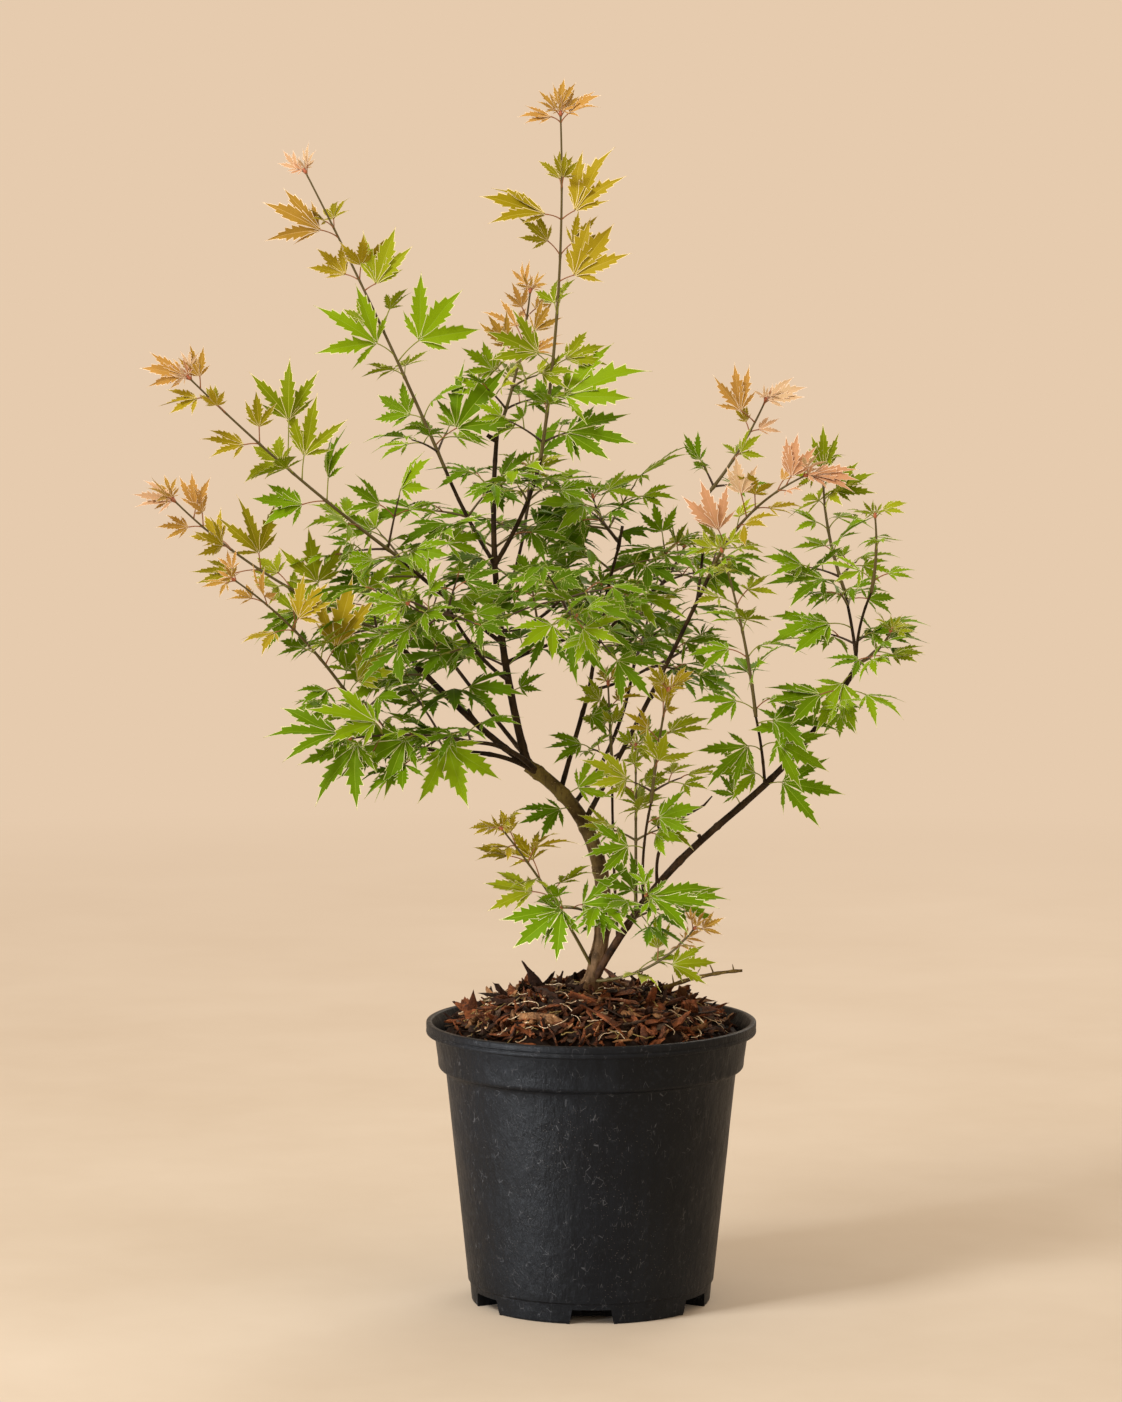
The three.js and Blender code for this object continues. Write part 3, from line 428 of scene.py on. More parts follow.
def tube(soup, centres, radii, sides, slot=0, relief=0):
    """A closed tube through centres. radii is one for each centre, and relief a height for each point."""
    centres = np.asarray(centres, float)
    count = len(centres)
    along = unit(np.gradient(centres, axis=0))
    aside = np.array([0.0, 1.0, 0.0]) if abs(along[count // 2][1]) < 0.8 else np.array([1.0, 0.0, 0.0])
    across = unit(np.cross(aside, along))
    third = np.cross(across, along)
    angle = ring_angles(sides)
    ring = across[:, None] * np.cos(angle)[:, None] + third[:, None] * np.sin(angle)[:, None]
    reach = np.asarray(radii, float)[:, None] * np.ones(sides) + relief
    points = (centres[:, None] + ring * reach[..., None]).reshape(-1, 3)
    soup.add(np.vstack([points, centres[0], centres[-1]]), inside_out(closed_faces(count, sides)), slot)


def swell(distance, width):
    """A bump of height 1, which has gone at twice its width."""
    return np.exp(-(distance / width) ** 2)


# ---------------------------------------------------------------- materials

def new_material(name, base, roughness, **sockets):
    """A Principled material of one base colour. Further sockets are set by their name, with _ for a blank."""
    material = bpy.data.materials.new(name)
    material.use_nodes = True
    shader = material.node_tree.nodes["Principled BSDF"]
    shader.inputs["Base Color"].default_value = linear(base)
    shader.inputs["Roughness"].default_value = roughness
    for socket, value in sockets.items():
        shader.inputs[socket.replace("_", " ")].default_value = value
    return material


class Graph:
    """Short words for the nodes of one material."""

    def __init__(self, material):
        self.tree = material.node_tree
        self.shader = self.tree.nodes["Principled BSDF"]
        self.place = self.node("ShaderNodeTexCoord").outputs["Object"]

    def node(self, kind, sockets=(), **settings):
        """A node with its settings. A socket takes a plain value, or a link from another node."""
        made = self.tree.nodes.new(kind)
        for name, value in settings.items():
            setattr(made, name, value)
        for name, value in dict(sockets).items():
            if isinstance(value, bpy.types.NodeSocket):
                self.tree.links.new(value, made.inputs[name])
            else:
                made.inputs[name].default_value = value
        return made

    def link(self, source, target):
        self.tree.links.new(source, target)

    def stretched(self, scale):
        """Places for a texture, which is drawn out along an axis where its scale is small."""
        if scale is None:
            return self.place
        return self.node("ShaderNodeMapping", {"Scale": scale, "Vector": self.place}).outputs["Vector"]

    def noise(self, scale, detail=4.0, rough=0.55, stretch=None, distortion=0.0):
        sockets = {"Scale": scale, "Detail": detail, "Roughness": rough, "Distortion": distortion}
        return self.node("ShaderNodeTexNoise", {**sockets, "Vector": self.stretched(stretch)}).outputs["Fac"]

    def cells(self, scale, feature="F1", stretch=None):
        sockets = {"Scale": scale, "Vector": self.stretched(stretch)}
        return self.node("ShaderNodeTexVoronoi", sockets, feature=feature).outputs["Distance"]

    def span(self, value, low, high, to_low=0.0, to_high=1.0):
        sockets = {"Value": value, "From Min": low, "From Max": high, "To Min": to_low, "To Max": to_high}
        return self.node("ShaderNodeMapRange", sockets).outputs["Result"]

    def product(self, a, b):
        return self.node("ShaderNodeMath", {0: a, 1: b}, operation="MULTIPLY").outputs["Value"]

    def blend(self, share, a, b):
        """A colour from a to b, each a hex code or a node's output."""
        a, b = (linear(tone) if isinstance(tone, str) else tone for tone in (a, b))
        return self.node("ShaderNodeMix", {"Factor": share, 6: a, 7: b}, data_type="RGBA").outputs[2]

    def layer(self, under, over, grain, low, high, most=1.0):
        """The colour under, with as much as most of over on it, where grain rises from low to high."""
        return self.blend(self.span(grain, low, high, 0, most), under, over)

    def bump(self, height, strength, distance, below=None):
        sockets = {"Height": height, "Strength": strength, "Distance": distance}
        if below is not None:
            sockets["Normal"] = below
        return self.node("ShaderNodeBump", sockets).outputs["Normal"]

    def finish(self, colour, roughness, normal):
        self.link(colour, self.shader.inputs["Base Color"])
        self.link(roughness, self.shader.inputs["Roughness"])
        self.link(normal, self.shader.inputs["Normal"])


def pot_plastic():
    """Charcoal black moulded plastic: satin, with scuffs, dust specks and faint upright streaks."""
    material = new_material(
        "pot_plastic", "#1b1c1f", 0.45, Specular_IOR_Level=0.17, Specular_Tint=(0.9, 0.95, 1.0, 1.0)
    )
    g = Graph(material)
    cloud = g.layer("#06080c", "#0c1016", g.noise(9, 5, 0.6), 0.35, 0.7)
    streaky = g.layer(cloud, "#161a20", g.noise(30, 3, 0.6, stretch=(1, 1, 0.05)), 0.56, 0.75, 0.4)
    grimy = g.layer(streaky, "#22262c", g.noise(170, 5, 0.7), 0.55, 0.72, 0.45)
    hair = g.span(g.cells(230, "DISTANCE_TO_EDGE", stretch=(1, 1, 0.5)), 0.026, 0.01)
    hair = g.product(hair, g.span(g.noise(150, 2, 0.5), 0.57, 0.64, 0, 0.45))
    scuffed = g.blend(hair, grimy, "#5a5c60")
    patch = g.span(g.noise(14, 2), 0.42, 0.6)
    dots = g.span(g.cells(480), 0.12, 0.06)
    dusty = g.blend(g.product(patch, dots), scuffed, "#66625e")
    roughness = g.span(g.noise(45, 6, 0.65), 0.3, 0.7, 0.4, 0.56)
    grain = g.bump(g.noise(620, 4, 0.65, stretch=(1, 1, 0.7)), 0.4, 0.0006)
    dents = g.bump(g.noise(110, 5, 0.6, stretch=(1, 1, 0.5)), 0.6, 0.002, grain)
    g.finish(dusty, roughness, g.bump(hair, 0.3, 0.0003, dents))
    return material


def bark(name, low, high, dark, pale, scale):
    """Bark from a greyer foot to a greener top, with fine upright cracks and pale lenticels."""
    material = new_material(name, low, 0.75, Specular_IOR_Level=WOOD_SHINE)
    g = Graph(material)
    height = g.node("ShaderNodeSeparateXYZ", {"Vector": g.place}).outputs["Z"]
    colour = g.layer(low, high, height, 0.25, 0.38)
    colour = g.layer(colour, dark, g.noise(60 * scale, 4, 0.6), 0.4, 0.68)
    cracks = g.noise(420 * scale, 5, 0.65, stretch=(1, 1, 0.16), distortion=0.4)
    colour = g.layer(colour, dark, cracks, 0.52, 0.68, 0.8)
    dot = g.span(g.cells(330 * scale, stretch=(1, 1, 1.9)), 0.2, 0.1, 0, 0.55)
    lenticel = g.product(dot, g.span(g.noise(90 * scale, 2), 0.5, 0.62))
    colour = g.blend(lenticel, colour, pale)
    roughness = g.span(g.noise(160 * scale, 4), 0.3, 0.7, 0.6, 0.85)
    fine = g.bump(g.noise(1500 * scale, 4, 0.6), 0.3, 0.0003)
    g.finish(colour, roughness, g.bump(cracks, 0.5, 0.0006, fine))
    return material


def wood_chip(name, base, dark, light):
    """Torn pine bark: fibres and pores in three browns."""
    material = new_material(name, base, 0.85, Specular_IOR_Level=WOOD_SHINE)
    g = Graph(material)
    colour = g.layer(base, dark, g.noise(110, 5, 0.65), 0.4, 0.66)
    colour = g.layer(colour, light, g.noise(360, 5, 0.7, distortion=1.4), 0.55, 0.72, 0.75)
    colour = g.layer(colour, dark, g.noise(700, 3, 0.6, stretch=(1, 0.25, 1)), 0.56, 0.7, 0.7)
    roughness = g.span(g.noise(240, 3), 0.3, 0.7, 0.65, 0.95)
    fine = g.bump(g.noise(1300, 4, 0.7), 0.5, 0.0005)
    g.finish(colour, roughness, g.bump(g.noise(260, 5, 0.7, stretch=(1, 0.4, 1)), 0.6, 0.0012, fine))
    return material


# ---------------------------------------------------------------- pot

POT_SIDES = 240
POT_RIM_RADIUS = 125
POT_HEIGHT = 214
POT_WALL = 2
POT_FLOOR = 2.4
POT_CREASE = 35
# A box far larger than the pot, which cuts off what stands out below it.
BELOW = 150
COLLAR_RADIUS = 118.6
COLLAR_FOOT_RADIUS = 116
COLLAR_BOTTOM = 179
LIP_HEIGHT = 9
BODY_TOP_RADIUS = 110.2
BODY_FOOT_RADIUS = 93.3
FOOT_BAND_RADIUS = 91
FOOT_BAND_HEIGHT = 16
FOOT_SKIN = 0.6
NOTCH_WIDTH = 32
NOTCH_HEIGHT = 11
NOTCH_SLANT = 3
NOTCH_INNER_RADIUS = 62
NOTCH_COUNT = 6
DRAIN_WIDTH = 14
DRAIN_HEIGHT = 5
DRAIN_REACH = 6


def rounded(corners):
    """An outline through (radius, height, fillet) corners, each turned into a short arc."""
    outline = []
    count = len(corners)
    for i, (r, z, fillet) in enumerate(corners):
        corner = np.array([r, z], float)
        if not fillet or i in (0, count - 1):
            outline.append(corner)
            continue
        before, after = (np.array(corners[j][:2], float) for j in (i - 1, i + 1))
        start = corner + unit(before - corner) * min(fillet, 0.45 * np.linalg.norm(before - corner))
        end = corner + unit(after - corner) * min(fillet, 0.45 * np.linalg.norm(after - corner))
        for t in np.linspace(0, 1, 5):
            outline.append(start * (1 - t) ** 2 + corner * 2 * t * (1 - t) + end * t * t)
    return np.array(outline)


def outer_radius(height):
    share = (height - FOOT_BAND_HEIGHT) / (COLLAR_BOTTOM - FOOT_BAND_HEIGHT)
    return BODY_FOOT_RADIUS + (BODY_TOP_RADIUS - BODY_FOOT_RADIUS) * share


def pot_outline():
    """Half a section of the shell, from the middle of its underside over the lip to that of its floor."""
    lip = POT_HEIGHT - LIP_HEIGHT
    step = FOOT_BAND_HEIGHT
    wall = [(outer_radius(z), z, 0) for z in np.linspace(step + 6, COLLAR_BOTTOM - 8, 22)]
    return rounded([
        (0, 0, 0),
        (FOOT_BAND_RADIUS - 0.4, 0, 2),
        (FOOT_BAND_RADIUS + 1, step - 0.8, 0.5),
        (BODY_FOOT_RADIUS, step, 0.5),
        *wall,
        (BODY_TOP_RADIUS, COLLAR_BOTTOM - 2, 2.5),
        (COLLAR_FOOT_RADIUS - 0.4, COLLAR_BOTTOM - 0.5, 2.8),
        (COLLAR_FOOT_RADIUS, COLLAR_BOTTOM + 6, 0),
        (COLLAR_RADIUS, lip - 1, 0.6),
        (POT_RIM_RADIUS, lip, 1.2),
        (POT_RIM_RADIUS, lip + 2.6, 0.5),
        (POT_RIM_RADIUS - 0.7, lip + 3.4, 0.4),
        (POT_RIM_RADIUS - 0.1, lip + 4.2, 0.5),
        (POT_RIM_RADIUS, POT_HEIGHT, 1.6),
        (POT_RIM_RADIUS - 4.2, POT_HEIGHT, 1.3),
        (COLLAR_RADIUS - POT_WALL, lip - 2, 2),
        (COLLAR_FOOT_RADIUS - POT_WALL, COLLAR_BOTTOM + 5, 3),
        (BODY_TOP_RADIUS - POT_WALL, COLLAR_BOTTOM + 1, 3),
        (outer_radius(step + 2) - POT_WALL, step + 2, 1),
        (FOOT_BAND_RADIUS - POT_WALL - 1, POT_FLOOR, 2),
        (0, POT_FLOOR, 0),
    ])


def turned(outline, sides, name):
    """A closed solid of revolution whose outline starts and ends on the axis."""
    soup = Soup()
    angle = ring_angles(sides)
    circle = np.stack([np.cos(angle), np.sin(angle)], -1)
    rings = [np.concatenate([circle * r, np.full((sides, 1), z)], 1) for r, z in outline[1:-1]]
    ends = [[0, 0, outline[0][1]], [0, 0, outline[-1][1]]]
    soup.add(np.vstack([*rings, *ends]), closed_faces(len(rings), sides))
    return soup.piece(name, [])


def radial_block(turn, radii, heights, halves, name):
    """A block between two radii and two heights, with a half width at its foot and one at its top."""
    out = np.array([math.cos(turn), math.sin(turn), 0])
    side = np.array([-out[1], out[0], 0])
    corners = []
    for height, half in zip(heights, halves):
        near, far = (out * radius + UP * height for radius in radii)
        corners += [near - side * half, far - side * half, far + side * half, near + side * half]
    walls = [[0, 1, 5, 4], [1, 2, 6, 5], [2, 3, 7, 6], [3, 0, 4, 7]]
    soup = Soup()
    soup.add(corners, [[[3, 2, 1, 0], [4, 5, 6, 7], *walls]])
    return soup.piece(name, [], smooth=False)


def notch_block(turn, grow, outer, name):
    """A block from the inner radius outwards over one notch, wider at its foot."""
    half = NOTCH_WIDTH / 2 + grow
    return radial_block(turn, (NOTCH_INNER_RADIUS - grow, outer), (-5, NOTCH_HEIGHT + grow),
                        (half + NOTCH_SLANT / 2, half - NOTCH_SLANT / 2), name)


def combine(target, tool, operation):
    """Boolean of two solids, applied to target."""
    modifier = target.modifiers.new("cut", "BOOLEAN")
    modifier.operation = operation
    modifier.solver = "MANIFOLD"
    modifier.object = tool
    depsgraph = bpy.context.evaluated_depsgraph_get()
    mesh = bpy.data.meshes.new_from_object(target.evaluated_get(depsgraph))
    target.modifiers.clear()
    target.data = mesh
    bpy.data.objects.remove(tool)


def drain_block(turn):
    """A block through the back wall of one notch."""
    middle = NOTCH_HEIGHT / 2
    return radial_block(turn, (NOTCH_INNER_RADIUS - DRAIN_REACH, NOTCH_INNER_RADIUS + DRAIN_REACH),
                        (middle - DRAIN_HEIGHT / 2, middle + DRAIN_HEIGHT / 2),
                        (DRAIN_WIDTH / 2, DRAIN_WIDTH / 2), "drain")


def make_pot():
    """The moulded shell, with its foot notches let in as tunnels and a drain slot in each."""
    pot = turned(pot_outline(), POT_SIDES, "pot_shell")
    turns = [-math.pi / 2 + angle for angle in ring_angles(NOTCH_COUNT)]
    inside = FOOT_BAND_RADIUS - FOOT_SKIN
    for turn in turns:
        tunnel = notch_block(turn, POT_WALL, BODY_FOOT_RADIUS, "tunnel")
        core = turned([(0, -10), (inside, -10), (inside, 40), (0, 40)], POT_SIDES, "core")
        combine(tunnel, core, "INTERSECT")
        combine(pot, tunnel, "UNION")
    combine(pot, radial_block(0, (-BELOW, BELOW), (-30, 0), (BELOW, BELOW), "below"), "DIFFERENCE")
    for turn in turns:
        combine(pot, notch_block(turn, 0, POT_RIM_RADIUS, "notch"), "DIFFERENCE")
        combine(pot, drain_block(turn), "DIFFERENCE")
    pot.data.materials.clear()
    pot.data.materials.append(pot_plastic())
    wobble_wall(pot.data)
    sharpen(pot.data, POT_CREASE)
    hand_over(pot, "pot_plastic", "pot")


def wobble_wall(mesh):
    """Moulded walls are uneven: above the foot, points move in or out by some tenths of a millimetre."""
    points = np.empty(len(mesh.vertices) * 3)
    mesh.vertices.foreach_get("co", points)
    points = points.reshape(-1, 3)
    radius = np.linalg.norm(points[:, :2], axis=1, keepdims=True)
    share = np.clip((points[:, 2:] - 0.02) / 0.03, 0, 1) * np.clip((radius - 0.08) / 0.005, 0, 1)
    move = 0.0003 * noise3(points * 14) + 0.00012 * noise3(points * 60)
    points[:, :2] *= 1 + share * move[:, None] / np.maximum(radius, 1e-6)
    mesh.vertices.foreach_set("co", points.ravel())
    mesh.update()


def sharpen(mesh, degrees):
    """Smooth shading, but with edges over degrees left sharp."""
    work = bmesh.new()
    work.from_mesh(mesh)
    for face in work.faces:
        face.smooth = True
    for edge in work.edges:
        edge.smooth = len(edge.link_faces) == 2 and edge.calc_face_angle(0) < math.radians(degrees)
    work.to_mesh(mesh)
    work.free()


# ---------------------------------------------------------------- mulch

MULCH_EDGE = 204
MULCH_CROWN = 236
MULCH_RADIUS = 113.6
BED_RINGS = 60
BED_SIDES = 200
BED_SINK = 2.5
BED_FOOT = 189
# The mound falls from its crown to its edge by this power of the radius.
MOUND_POWER = 2.4
CHIPS = 1000
CHIP_SHORTEST, CHIP_GROWTH = 7.5, 27
CHIP_WIDTHS = (0.16, 0.5)
CHIP_THICKEST = 3.6
CHIP_TILT = 0.75
SPLINTERS = 170
SPLINTER_HEIGHTS = (7, 15)
FIBRES = 190
FIBRE_LENGTHS = (10, 34)
FIBRE_LIFTS = (2.5, 6.0)
FIBRE_STEPS = 8
CHIP_RINGS = 6
CHIP_SIDES = 6
CHIP_CREASE = 28
TRUNK_FOOT = (-5, 0)
CHIP_TONES = {
    "rust": ("#7a4527", "#2a140a", "#b97b4e"),
    "brown": ("#54301e", "#1a0d07", "#946641"),
    "dark": ("#2e1b12", "#0f0704", "#5e4231"),
    "tan": ("#8f6845", "#412a1a", "#cdaa80"),
    "grey": ("#47372c", "#1b140f", "#80705c"),
}
# How many chips of a hundred have each tone.
CHIP_SHARES = (32, 26, 22, 12, 8)
# Spiky slivers that stand out of the mound behind the trunk and at its left: place, lean and height.
SLIVERS = [
    (-42, 14, -0.6, 34),
    (-66, 8, -0.9, 22),
    (-104, -4, -1.6, 18),
    (-25, 24, 0.5, 18),
    (-34, 26, 0.9, 20),
    (14, 30, 0.7, 16),
    (36, 34, -0.8, 20),
    (70, 16, 1.2, 16),
    (-12, -30, 0.9, 20),
    (104, -6, 0.9, 16),
]


def mulch_height(radius):
    """Height of the mound's plain surface above the floor."""
    return MULCH_CROWN - (MULCH_CROWN - MULCH_EDGE) * np.minimum(radius / MULCH_RADIUS, 1) ** MOUND_POWER


def make_bed():
    """The dark humus under the chips: one lumpy closed sheet over the compost."""
    radius = np.linspace(0, MULCH_RADIUS, BED_RINGS)[1:]
    r, a = np.meshgrid(radius, ring_angles(BED_SIDES), indexing="ij")
    points = np.stack([r * np.cos(a), r * np.sin(a), mulch_height(r) - BED_SINK], -1)
    lumps = 3.0 * noise3(points / 9) + 1.8 * noise3(points / 3.6) + 0.8 * noise3(points / 1.7)
    points[..., 2] += lumps * np.clip((MULCH_RADIUS - r) / 5, 0, 1)
    rim = points[-1].copy()
    rim[:, 2] = BED_FOOT
    points = np.vstack([points.reshape(-1, 3), rim, [0, 0, MULCH_CROWN - BED_SINK], [0, 0, BED_FOOT]])
    soup = Soup()
    soup.add(points, inside_out(closed_faces(BED_RINGS, BED_SIDES)))
    bed = soup.piece("mulch_bed", [wood_chip("humus", "#1f130d", "#0b0604", "#3c261a")])
    hand_over(bed, "mulch", "bark_mulch")


def scattered(draw, limit):
    """A random point on the mound, within limit of its middle."""
    reach = limit * math.sqrt(draw.random())
    turn = draw.uniform(0, 2 * math.pi)
    return np.array([reach * math.cos(turn), reach * math.sin(turn), mulch_height(reach)])


def chip(soup, at, along, face, length, width, thick, draw, slot):
    """One torn flake of bark: a flattened, bent tube with ragged ends."""
    along = unit(along - face * np.dot(along, face))
    across = np.cross(face, along)
    t = np.linspace(-1, 1, CHIP_RINGS)
    taper = 1 - np.abs(t) ** draw.uniform(1.5, 4)
    taper = np.maximum(taper, draw.uniform(0.15, 0.6)) * [draw.uniform(0.65, 1.25) for _ in t]
    bend = draw.uniform(-0.09, 0.09) * length * (1 - t * t)
    skew = draw.uniform(-0.12, 0.12) * length * t
    angle = ring_angles(CHIP_SIDES) + 0.3
    jag = np.array([[draw.uniform(0.6, 1.3) for _ in angle] for _ in t])
    tear = np.array([[draw.uniform(-0.09, 0.09) for _ in angle] for _ in t])
    wide = np.cos(angle) * taper[:, None] * jag * width / 2 + 0.3 * skew[:, None]
    tall = np.sin(angle) * np.maximum(taper, 0.35)[:, None] * jag * thick / 2 + bend[:, None]
    far = t[:, None] * length / 2 + tear * length
    points = (at + far[..., None] * along + wide[..., None] * across + tall[..., None] * face).reshape(-1, 3)
    ends = [points[:CHIP_SIDES].mean(0), points[-CHIP_SIDES:].mean(0)]
    soup.add(np.vstack([points, *ends]), closed_faces(CHIP_RINGS, CHIP_SIDES), slot)


def make_chips():
    """Bark flakes in layers over the mound: small ones everywhere, large ones on top, a few standing up."""
    draw = random.Random(21)
    soup = Soup()
    for i in range(CHIPS):
        big = i / CHIPS
        length = CHIP_SHORTEST + CHIP_GROWTH * big ** 2 * draw.uniform(0.6, 1.3) + draw.uniform(0, 5)
        width = length * draw.uniform(*CHIP_WIDTHS)
        thick = min(1.1 + length * draw.uniform(0.03, 0.12), CHIP_THICKEST)
        at = scattered(draw, MULCH_RADIUS - 0.55 * length)
        if math.dist(at[:2], TRUNK_FOOT) < 8 + 0.35 * length:
            continue
        at[2] += draw.uniform(-2.0, 3.5) + 1.5 * big - 1
        tilt = draw.gauss(0, CHIP_TILT)
        way = draw.uniform(0, 2 * math.pi)
        lean = math.sin(tilt)
        face = unit(np.array([math.cos(way) * lean, math.sin(way) * lean, math.cos(tilt)]))
        spin = draw.uniform(0, 2 * math.pi)
        along = np.array([math.cos(spin), math.sin(spin), draw.gauss(0, 0.25)])
        tone = draw.choices(range(len(CHIP_TONES)), weights=CHIP_SHARES)[0]
        chip(soup, at, along, face, length, width, thick, draw, tone)
    for _ in range(SPLINTERS):
        at = scattered(draw, MULCH_RADIUS - 8)
        tall = draw.uniform(*SPLINTER_HEIGHTS)
        if math.dist(at[:2], TRUNK_FOOT) < 16:
            continue
        at[2] += 0.15 * tall
        along = unit(np.array([draw.gauss(0, 0.9), draw.gauss(0, 0.9), 1.0]))
        face = unit(np.array([draw.gauss(0, 0.6), -1, 0.3]))
        width = tall * draw.uniform(0.25, 0.5)
        chip(soup, at, along, face, tall, width, 2.4, draw, draw.choice((0, 1, 1, 2, 3)))
    for x, y, lean, tall in SLIVERS:
        at = np.array([x, y, mulch_height(math.hypot(x, y)) + 0.25 * tall])
        along = unit(np.array([lean, draw.uniform(-0.3, 0.1), 1.0]))
        face = unit(np.array([0.2, -1, 0.1]))
        chip(soup, at, along, face, tall, 0.26 * tall, 2.2, draw, draw.choice((1, 2, 2)))
    chips = soup.piece("bark_chips", [wood_chip(f"chip_{name}", *tone) for name, tone in CHIP_TONES.items()])
    sharpen(chips.data, CHIP_CREASE)
    hand_over(chips, "mulch", "bark_mulch")


def make_fibres():
    """Pale root fibres, bits of straw and the thin dead twig that lies on the right of the mound."""
    draw = random.Random(33)
    soup = Soup()
    for _ in range(FIBRES):
        at = scattered(draw, MULCH_RADIUS - 12)[:2]
        heading = draw.uniform(0, 2 * math.pi)
        length = draw.uniform(*FIBRE_LENGTHS)
        curl = draw.gauss(0, 0.22)
        lift = draw.uniform(*FIBRE_LIFTS)
        points = []
        for _ in range(FIBRE_STEPS):
            points.append([*at, mulch_height(np.linalg.norm(at)) + lift + draw.uniform(-0.7, 0.7)])
            heading += curl + draw.gauss(0, 0.12)
            at = at + np.array([math.cos(heading), math.sin(heading)]) * length / FIBRE_STEPS
            if np.linalg.norm(at) > MULCH_RADIUS - 4:
                break
        if len(points) > 3:
            radii = np.linspace(0.5, 0.25, len(points)) * draw.uniform(0.6, 1.2)
            tube(soup, points, radii, 5, draw.choice((0, 0, 1)))
    line = LimbCurve((50, 12, 234), (115, 10, 250), (0, 0, 3))
    share = np.linspace(0, 1, 26)
    tube(soup, line.point(share), 1.7 - 0.6 * share + 0.45 * swell((share * 5) % 1 - 0.5, 0.16), 9, 2)
    for share in np.linspace(0.2, 0.9, 4):
        foot = line.point(share)
        way = unit(np.array([draw.uniform(-0.3, 0.7), draw.uniform(-0.6, 0.6), draw.uniform(0.3, 1.0)]))
        length = draw.uniform(5, 11)
        tube(soup, [foot, foot + way * length * 0.6, foot + way * length], [0.7, 0.5, 0.15], 6, 2)
    materials = [
        wood_chip("root_fibre", "#d6c3a4", "#9a8060", "#f4ead4"),
        wood_chip("straw_bit", "#94804c", "#5f4f2c", "#bda873"),
        wood_chip("dead_twig_bark", "#6e5a2a", "#3a2b16", "#a08a4c"),
    ]
    hand_over(soup.piece("root_fibres", materials), "mulch", "bark_mulch")


# ---------------------------------------------------------------- limbs

curves = {}
for row in LIMBS:
    start = curves[row.on].point(row.share) if row.on else TRUNK_BASE
    curves[row.name] = LimbCurve(start, row.tip, row.bow, row.sway)

NODE_SPACING = 34
# The limbs' plain radii are taken over their swollen nodes, and the wood between is slimmer.
BETWEEN_NODES = 0.92
NODE_SWELLS = (0.08, 0.18)
COLLAR_SWELL = 0.35
RIDGE_DEPTH, GRAIN_DEPTH = 0.05, 0.03
FOOT_LOBE_DEPTH = 0.6


def round_noise(angle, place, turns, stretch, shift):
    """Noise on the skin of a limb, which meets itself on the way round."""
    parts = turns * np.cos(angle)[None], turns * np.sin(angle)[None], place[:, None] / stretch
    return noise3(np.stack(np.broadcast_arrays(*parts), -1) + shift)


def bark_limb(soup, row, draw):
    """One limb with its collar, its swollen nodes with their ring scars, and upright bark ridges."""
    curve = curves[row.name]
    length = curve.length()
    trunk = row.name == "trunk"
    foot, tip = row.thick
    step = 1.0 if trunk else 1.6
    sides = 56 if trunk else 28 if foot > 2.5 else 16
    share = np.linspace(0, 1, max(int(length / step), 12))
    place = share * length
    radii = BETWEEN_NODES * (foot + (tip - foot) * share)
    if trunk:
        radii = radii * (1 + FLARE * np.maximum(1 - share / FLARE_LENGTH, 0) ** 2)
    else:
        radii = radii * (1 + COLLAR_SWELL * np.exp(-place / (2.2 * foot)))
    node = draw.uniform(0.3, 0.8) * NODE_SPACING
    while node < length - 3:
        knuckle = draw.uniform(*NODE_SWELLS) * swell(place - node, 1.6 + 0.25 * radii)
        scar = 0.06 * swell(place - node - 3.4, 0.7) - 0.05 * swell(place - node - 2.2, 0.6)
        radii = radii * (1 + knuckle + scar)
        node += NODE_SPACING * draw.uniform(0.6, 1.3)
    angle = ring_angles(sides)
    ridges = round_noise(angle, place, 3.2, 9, draw.uniform(0, 9))
    fine = round_noise(angle, place, 7.5, 2.2, draw.uniform(0, 9))
    relief = (RIDGE_DEPTH * ridges + GRAIN_DEPTH * fine) * radii[:, None]
    if trunk:
        low = np.maximum(1 - share / (1.6 * FLARE_LENGTH), 0)[:, None]
        relief = relief + FOOT_LOBE_DEPTH * np.cos(3 * angle + 0.6)[None] * low ** 1.5
    tube(soup, curve.point(share), radii, sides, 0, relief)


def stub(soup, at, way, length, radius, draw):
    """A short cut or dead spur with a blunt, broken end."""
    way = unit(np.array(way, float))
    share = np.linspace(0, 1, 7)
    centres = at + length * (share[:, None] * way + 0.06 * UP * share[:, None] ** 2)
    radii = radius * (1.25 - 0.35 * share + 0.12 * np.sin(share * 9 + draw.uniform(0, 6)))
    tube(soup, centres, radii, 10)


# Dead spurs and knobs of old wood: limb, share of its length, way out, length and radius.
STUBS = [
    ("bough_left", 0.62, (-1, 0.1, 0.8), 24, 1.4),
    ("bough_left", 0.34, (-0.6, -0.4, 0.9), 16, 1.3),
    ("bough_left", 0.1, (-0.5, -0.5, 0.35), 10, 1.9),
    ("bough_centre", 0.985, (-0.9, -0.2, 0.5), 8, 1.8),
    ("bough_centre", 0.62, (-0.7, -0.6, 0.6), 7, 1.6),
    ("bough_middle_up", 0.95, (0.2, -0.2, 1), 18, 1.2),
    ("bough_middle", 0.95, (-0.5, -0.3, 0.7), 6, 1.6),
    ("trunk", 0.5, (1, -0.4, 0.2), 5, 2.2),
    ("stem_right", 0.42, (-0.4, -0.5, 0.8), 5, 1.5),
    ("stem_right", 0.75, (0.5, -0.5, -0.6), 5, 1.2),
    ("stem_right", 0.9, (-0.6, -0.3, 0.9), 12, 1.1),
    ("bough_right", 0.5, (0.7, -0.4, 0.5), 5, 1.0),
]


